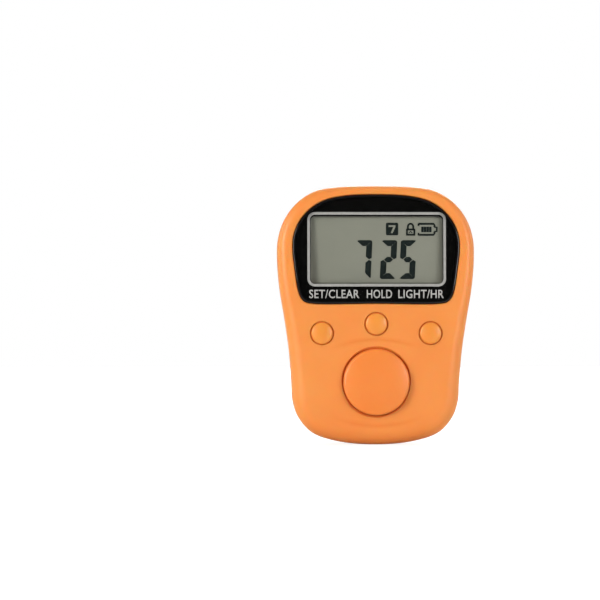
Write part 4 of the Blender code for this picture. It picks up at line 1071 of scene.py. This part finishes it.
def buttonProfile(size):                             # domed cap, rounded rim, flange, post
    cap, face, rim, dome, power = (size[key] for key in ("cap", "face", "rim", "dome", "power"))
    flange, post, back, ease = size["flange"], size["post"], keyForm["flangeBack"], keyForm["ease"]
    domed = [((cap - rim) * t, face + dome * t**power) for t in np.linspace(0.0, 1.0, keyForm["domeSteps"])]
    start = math.atan(dome * power / (cap - rim))
    arc = [(cap - rim + rim * (math.sin(a) - math.sin(start)) / (1 - math.sin(start)),
            face + dome + rim * (math.cos(start) - math.cos(a)))
           for a in np.linspace(start, math.pi / 2, keyForm["rimSteps"])[1:]]  # fmt: skip
    profile = domed + arc + [(cap, keyForm["flange"]), (flange, keyForm["flange"]), (flange, back)]
    if size["hollow"]:
        floor = keyForm["hollowFloor"]
        profile += [(size["hollow"] + ease, back), (size["hollow"], keyForm["hollowEdge"]),
                    (size["hollow"], floor), (post + ease / 2, floor)]  # fmt: skip
    else:
        profile += [(post + ease, back)]
    return profile + [(post, profile[-1][1] + ease), (post, keyForm["post"]), (0.0, keyForm["post"])]


def makeButton(name, size):                          # the cap, and a skirt that closes most of its gap, coloured with painted shade
    bm = turnedBody(buttonProfile(size), size["capSteps"], size["at"])
    onto(addObject(f"{name}Button", bm, looks[size["look"]]), f"{name}_button", "orange_button",
         f"{name}_button")  # fmt: skip
    top, low = float(faceDepth(size["at"][1])) + size["step"], keyForm["skirtEnd"]
    inner, outer = size["cap"] - keyForm["skirtIn"], size["hole"] - keyForm["skirtOut"]
    profile = [(inner, top), (outer, top), (outer, low), (inner, low)]
    bm = turnedBody(profile, size["capSteps"], size["at"], closed=True)
    onto(addObject(f"{name}ButtonSkirt", bm, looks["orange_gap"]), f"{name}_button", "orange_button")


for name, size in buttons.items():
    makeButton(name, size)
print("buttons done")


def makePort():
    bm = bmesh.new()
    outer, inner = -port["gap"], -port["gap"] - port["metal"]
    stations = [(port["end"], outer), *((port["mouth"] + x, outer + grow) for x, grow in port["outerLip"]),
                *((port["mouth"] + x, inner + grow) for x, grow in port["innerLip"]),
                (port["end"], inner)]  # fmt: skip
    bridge(bm, portRings(bm, stations), closed=True)
    onto(addObject("portSleeve", bm, looks["port_metal"]), "case", "port_metal", "usb_shell")


def makeContacts():
    count = port["contacts"]
    first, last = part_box("usb_contact_1"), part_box(f"usb_contact_{count}")
    bar = bmesh.new()
    bmesh.ops.create_cube(bar, size=1.0)
    bar.transform(Matrix.Diagonal((*(first[1] - first[0]), 1.0)))
    bmesh.ops.bevel(bar, geom=bar.edges, offset=0.04 * mm, segments=2, affect="EDGES")
    shape = addObject("contactShape", bar, looks["gilt"], world=False)
    start, end = (first[0] + first[1]) / 2, (last[0] + last[1]) / 2
    places = [start.lerp(end, k / (count - 1)) for k in range(count)]
    made = repeated("portContacts", shape, places, [(0.0, 0.0, 1.0)] * count, looks["gilt"])
    onto(made, "case", "gilt", *(f"usb_contact_{k + 1}" for k in range(count)))


makePort()
makeContacts()
print("charging port done")


strap = {
    "width": 9.0, "thick": 1.7, "step": 1.78, "corner": 0.42, "tip": 0.9, "stepsAlong": 110, "tipSteps": 16,
    "barRadius": 1.25, "barOver": 0.6, "barSteps": 40, "lapEnd": 3.2, "lapStart": 12.0, "lapPoints": 10,
    "holeTailSteps": 90, "pegTailSteps": 100, "lookAhead": 0.3,
    "holeTail": [(12.6, 30.6), (16.0, 31.0), (19.5, 31.55), (22.0, 31.3), (24.2, 30.4), (26.2, 28.7),
                 (27.8, 26.5), (29.1, 23.9), (30.0, 21.2), (30.55, 18.2), (30.7, 15.0), (30.5, 12.2),
                 (30.0, 9.5)],
    "pegTail": [(11.8, 7.8), (16.2, 7.15), (20.3, 6.05), (23.2, 6.5), (25.2, 7.6), (27.1, 9.3)],
    "holeBend": ((14.4, 31.0), (18.6, 31.2)), "pegBend": ((14.2, 7.4), (18.4, 6.6)),
}  # fmt: skip
strapHoles = {"count": 6, "pitch": 5.2, "fromEnd": 3.2, "radius": 1.3, "lip": 0.14, "sweep": 60.0,
              "lipSteps": 4, "flare": 0.5, "above": 0.9, "steps": 40}  # fmt: skip
pegs = {"buttoned": 4, "freeStep": 4.9, "neck": 1.05, "head": 1.8, "headThick": 0.75, "foot": 0.2,
        "footWide": 0.5, "filletWide": 0.42, "filletTall": 0.4, "waist": 0.02, "brim": 0.35, "crown": 0.72,
        "clear": 0.03, "round": 0.16, "steps": 56}  # fmt: skip


def alongAt(curve, distance):                        # a point on the curve, and which way it runs there
    along, ahead = runLength(curve), strap["lookAhead"]
    here, after, before = (
        np.array([np.interp(distance + step, along, curve[:, k]) for k in range(2)])
        for step in (0.0, ahead, -ahead)
    )
    return here, (after - before) / np.linalg.norm(after - before)


def pegTailCurve(outer):                             # its end runs inside the other tail, one step in
    lapped = []
    last = runLength(outer)[-1] - strap["lapEnd"]
    for distance in np.linspace(last, strap["lapStart"], strap["lapPoints"]):
        here, direction = alongAt(outer, distance)
        lapped.append(tuple(here + strap["step"] * np.array([direction[1], -direction[0]])))
    return evenSteps(smoothThrough(strap["pegTail"] + lapped), strap["pegTailSteps"])


def tailSection(halfWidth):
    half = strap["thick"] / 2
    corner = min(strap["corner"], halfWidth * 0.5)
    points = []
    for turn, (sx, sh) in enumerate(((1, 1), (1, -1), (-1, -1), (-1, 1))):
        for step in range(cornerSteps + 1):
            angle = math.pi / 2 * (1 - turn - step / cornerSteps)
            x = sx * (halfWidth - corner) + corner * math.cos(angle)
            points.append((x, sh * (half - corner) + corner * math.sin(angle)))
    return points


def makeTail(name, curve, outward):                  # a band with a round end, and a bar inside the case
    bm = bmesh.new()
    full, total = strap["width"] / 2, runLength(curve)[-1]
    stops = list(np.linspace(0.0, total - full, strap["stepsAlong"]))
    stops += [total - full * (1 - math.sin(a)) for a in np.linspace(0.0, math.pi / 2, strap["tipSteps"])[1:]]
    rings = []
    for distance in stops:
        here, direction = alongAt(curve, distance)
        normal = outward * np.array([-direction[1], direction[0]])
        left = max(total - distance, 0.0)
        halfWidth = full if left >= full else max(math.sqrt(full**2 - (full - left) ** 2), strap["tip"])
        rings.append([bm.verts.new((x, *(here + normal * h))) for x, h in tailSection(halfWidth)])
    bridge(bm, rings)
    bm.faces.new(rings[0])
    bm.faces.new(rings[-1])
    tail = addObject(name, bm, looks["orange_rubber"])
    bar, radius = bmesh.new(), strap["barRadius"]
    bmesh.ops.create_cone(bar, cap_ends=True, segments=strap["barSteps"], radius1=radius, radius2=radius,
                          depth=strap["width"] + strap["barOver"])  # fmt: skip
    bar.transform(Matrix.Translation((0.0, *curve[0])) @ Matrix.Rotation(math.pi / 2, 4, "Y"))
    return boolean(tail, addObject(name + "Bar", bar), "UNION")


def bendAcross(tail, ends, node):              # the tail's place baked into its mesh and its CAD node hidden; the bend's two ends are turned into frame points but not used
    inFrame(0.0, *ends[0])
    inFrame(0.0, *ends[1])
    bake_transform(tail)
    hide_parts(node)


def strapHole(here, normal):
    half, size = strap["thick"] / 2, strapHoles
    arc = lipArc(size["radius"], half, -size["lip"], size["sweep"], size["lipSteps"])
    upper = [*arc, (arc[-1][0] + size["flare"], arc[-1][1] + size["above"])]
    profile = [(0.0, -upper[-1][1]), *[(r, -h) for r, h in reversed(upper)], *upper, (0.0, upper[-1][1])]
    bm = turnedBody(profile, size["steps"])
    lean = math.atan2(normal[1], normal[0])
    bm.transform(Matrix.Translation((0.0, *here)) @ Matrix.Rotation(lean, 4, "X"))
    return bm


def nearestAlong(curve, point):
    along = runLength(curve)
    fine = np.linspace(0.0, along[-1], 1200)
    places = np.column_stack([np.interp(fine, along, curve[:, k]) for k in range(2)])
    return float(fine[np.argmin(np.linalg.norm(places - point, axis=1))])


def makePegs(places):                                # (point, direction) of each peg on its tail
    top, head, neck, tall = strap["thick"] / 2, pegs["head"], pegs["neck"], pegs["headThick"]
    lift = top + strap["step"] + pegs["clear"]
    outline = [(0.0, pegs["foot"]), (neck + pegs["footWide"], pegs["foot"]), (neck + pegs["filletWide"], top),
               (neck + pegs["waist"], top + pegs["filletTall"]), (neck, lift), (head, lift),
               (head, lift + tall * pegs["brim"]), (head * pegs["crown"], lift + tall),
               (0.0, lift + tall)]  # fmt: skip
    bm = turnedBody(roundedCorners(outline, pegs["round"]), pegs["steps"])
    bm.transform(Matrix.Rotation(math.pi / 2, 4, "X"))
    bm.transform(Matrix.Scale(mm, 4))
    rubber = looks["orange_rubber"]
    shape = addObject("pegShape", bm, rubber, world=False)
    points, facings = [inFrame(0.0, *at) for at, _ in places], [(0.0, *n) for _, n in places]
    onto(repeated("strapPegs", shape, points, facings, rubber), "peg_tail", "orange_rubber")


def makeStrap():
    outer = evenSteps(smoothThrough(strap["holeTail"]), strap["holeTailSteps"])
    inner = pegTailCurve(outer)
    holes = []
    for index in range(strapHoles["count"]):
        distance = runLength(outer)[-1] - strapHoles["fromEnd"] - strapHoles["pitch"] * index
        here, direction = alongAt(outer, distance)
        holes.append((here, np.array([-direction[1], direction[0]])))
    tail = makeTail("strapWithHoles", outer, 1)
    for index, (here, normal) in enumerate(holes):
        boolean(tail, addObject(f"strapHole{index}", strapHole(here, normal)))
    bendAcross(settle(tail), strap["holeBend"], "strap_with_holes")
    pegTail = settle(makeTail("strapWithPegs", inner, -1))
    bendAcross(pegTail, strap["pegBend"], "strap_with_pegs")
    places = [(here - strap["step"] * normal, normal) for here, normal in holes[: pegs["buttoned"]]]
    here, direction = alongAt(inner, nearestAlong(inner, places[0][0]) - pegs["freeStep"])
    makePegs([(here, np.array([direction[1], -direction[0]])), *places])


makeStrap()
print("ring strap done")


inside = {
    "white_plastic": ["lcd_frame", "count_plunger", "reset_plunger", "lock_plunger", "light_plunger"],
    "black_epoxy": ["usb_insulator", "controller_blob", "charge_chip", "count_switch", "reset_switch",
                    "lock_switch", "light_switch"],
    "black_foam": ["battery_pad"], "battery_foil": ["battery_cell"], "steel": ["crystal_can"],
    "capacitor": ["supply_capacitor"], "red_wire": ["battery_lead_red"], "black_wire": ["battery_lead_black"],
    "reflector": ["lcd_rear_polariser"],
}  # fmt: skip
board = {"mask": (0.010, 0.115, 0.042), "track": (0.022, 0.200, 0.078), "tin": (0.60, 0.58, 0.52),
         "trackScale": 620.0, "trackEdge": 0.12, "padScale": 900.0, "padRadius": 0.17}  # fmt: skip
zebra = {"carbon": (0.018, 0.018, 0.020), "rubber": (0.30, 0.33, 0.36), "perMetre": 4200.0}


def circuitBoardLook():                              # green mask over copper tracks, tinned dots
    look = Look("circuit_green")
    lines = look.node("ShaderNodeTexVoronoi", {"distance": "CHEBYCHEV", "feature": "DISTANCE_TO_EDGE"},
                      {"Vector": look.place, "Scale": board["trackScale"]})  # fmt: skip
    dots = look.node("ShaderNodeTexVoronoi", None, {"Vector": look.place, "Scale": board["padScale"]})
    track = lines > board["trackEdge"]
    tinned = ((board["padRadius"] - dots) * 40.0).clamp()
    green = look.blend(track, board["mask"], board["track"])
    return look.feed(colour=look.blend(tinned, green, board["tin"]), rough=0.42 - tinned * 0.16,
                     metal=tinned * 0.9, normal=look.bump(track + tinned, 0.02 * mm))  # fmt: skip


def zebraLook():                                     # conducting stripes across a strip of rubber
    look = Look("striped_connector")
    stripe = (look.axis("X") * zebra["perMetre"]).fraction() > 0.5
    return look.feed(colour=look.blend(stripe, zebra["rubber"], zebra["carbon"]),
                     rough=look.noise(2400.0) * 0.2 + 0.5)  # fmt: skip


def glassLook():                                     # greenish display glass
    look = Look("display_glass", {"IOR": 1.5, "Coat Weight": 0.4, "Coat Roughness": 0.05})
    smoke = look.noise(180.0, 3.0)
    return look.feed(colour=look.blend(smoke, (0.20, 0.22, 0.185), (0.25, 0.265, 0.225)),
                     rough=look.noise(900.0) * 0.08 + 0.12)  # fmt: skip


def lampLook():
    look = Look("yellow_lamp")
    phosphor = look.noise(1800.0, 3.0)
    return look.feed(colour=look.blend(phosphor, (0.86, 0.78, 0.38), (0.90, 0.86, 0.62)),
                     rough=phosphor * 0.2 + 0.25)  # fmt: skip


def diffuserLook():                                  # white light guide with its printed dot pattern
    look = Look("dotted_guide")
    dots = look.node("ShaderNodeTexVoronoi", None, {"Vector": look.place, "Scale": 1400.0})
    dot = ((0.28 - dots) * 30.0).clamp()
    return look.feed(colour=look.blend(dot, (0.78, 0.79, 0.78), (0.93, 0.93, 0.92)),
                     rough=0.3 + dot * 0.3, normal=look.bump(dot, 0.01 * mm))  # fmt: skip


def dress(look, *nodes):
    for node in nodes:
        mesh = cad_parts[node].data
        mesh.materials.clear()
        mesh.materials.append(look)


for finish, nodes in inside.items():
    dress(looks[finish], *nodes)
dress(glassLook(), "lcd_front_glass", "lcd_rear_glass")
dress(diffuserLook(), "backlight_guide")
dress(lampLook(), "backlight_led")
dress(zebraLook(), "zebra_connector")
dress(circuitBoardLook(), "circuit_board")
print("inner pieces dressed")


def addFloor():                                      # glows to the camera, and is plain paper to the light
    half, tone = studio["floorSize"] / 2, studio["floorTone"]
    bm = bmesh.new()
    corners = ((-half, -half), (half, -half), (half, half), (-half, half))
    bm.faces.new([bm.verts.new((x, y, 0.0)) for x, y in corners])
    look = Look("pale_floor", {
        "Roughness": studio["floorRough"], "Specular IOR Level": studio["floorShine"],
        "Emission Strength": studio["floorGlow"],
        "Emission Color": (*studio["floorGlowTone"], 1.0)})  # fmt: skip
    cloud = look.noise(studio["floorCloud"])
    look.feed(colour=look.blend(cloud * 0.3, tone, tuple(v * 0.99 for v in tone)))
    seen = addNode(look.tree, "ShaderNodeLightPath").outputs["Is Camera Ray"]
    bounce = addNode(look.tree, "ShaderNodeBsdfDiffuse", None, {"Color": (*studio["floorBounce"], 1.0)})
    both = addNode(look.tree, "ShaderNodeMixShader", None, {
        0: seen, 1: bounce.outputs[0], 2: look.shader.outputs[0]})  # fmt: skip
    look.tree.links.new(both.outputs[0], look.tree.nodes["Material Output"].inputs["Surface"])
    addObject("floor", bm, look.material, world=False)


def addSky():                                        # white to the camera, a dim fill to the object
    world = bpy.data.worlds.new("studioSky")
    bpy.context.scene.world = world
    world.use_nodes = True
    tree = world.node_tree
    tree.nodes.clear()
    seen = addNode(tree, "ShaderNodeLightPath").outputs["Is Camera Ray"]
    sight = addNode(tree, "ShaderNodeTexCoord").outputs["Generated"]
    ahead = addNode(tree, "ShaderNodeSeparateXYZ", None, {0: sight}).outputs["Y"]
    dimmed = addNode(tree, "ShaderNodeMapRange", {"interpolation_type": "SMOOTHSTEP"}, {
        "Value": ahead, "From Min": studio["flagFrom"], "From Max": studio["flagTo"],
        "To Min": studio["skyFlag"], "To Max": studio["skyFill"]})  # fmt: skip
    white = (1.0, 1.0, 1.0, 1.0)
    fill = addNode(tree, "ShaderNodeBackground", None, {"Color": white, "Strength": dimmed.outputs[0]})
    backdrop = addNode(tree, "ShaderNodeBackground", None, {"Color": white, "Strength": studio["skySeen"]})
    mixed = addNode(tree, "ShaderNodeMixShader", None, {0: seen, 1: fill.outputs[0], 2: backdrop.outputs[0]})
    addNode(tree, "ShaderNodeOutputWorld", None, {0: mixed.outputs[0]})


addFloor()
addSky()
bpy.context.scene.view_settings.view_transform = "Standard"
print("floor and sky done")
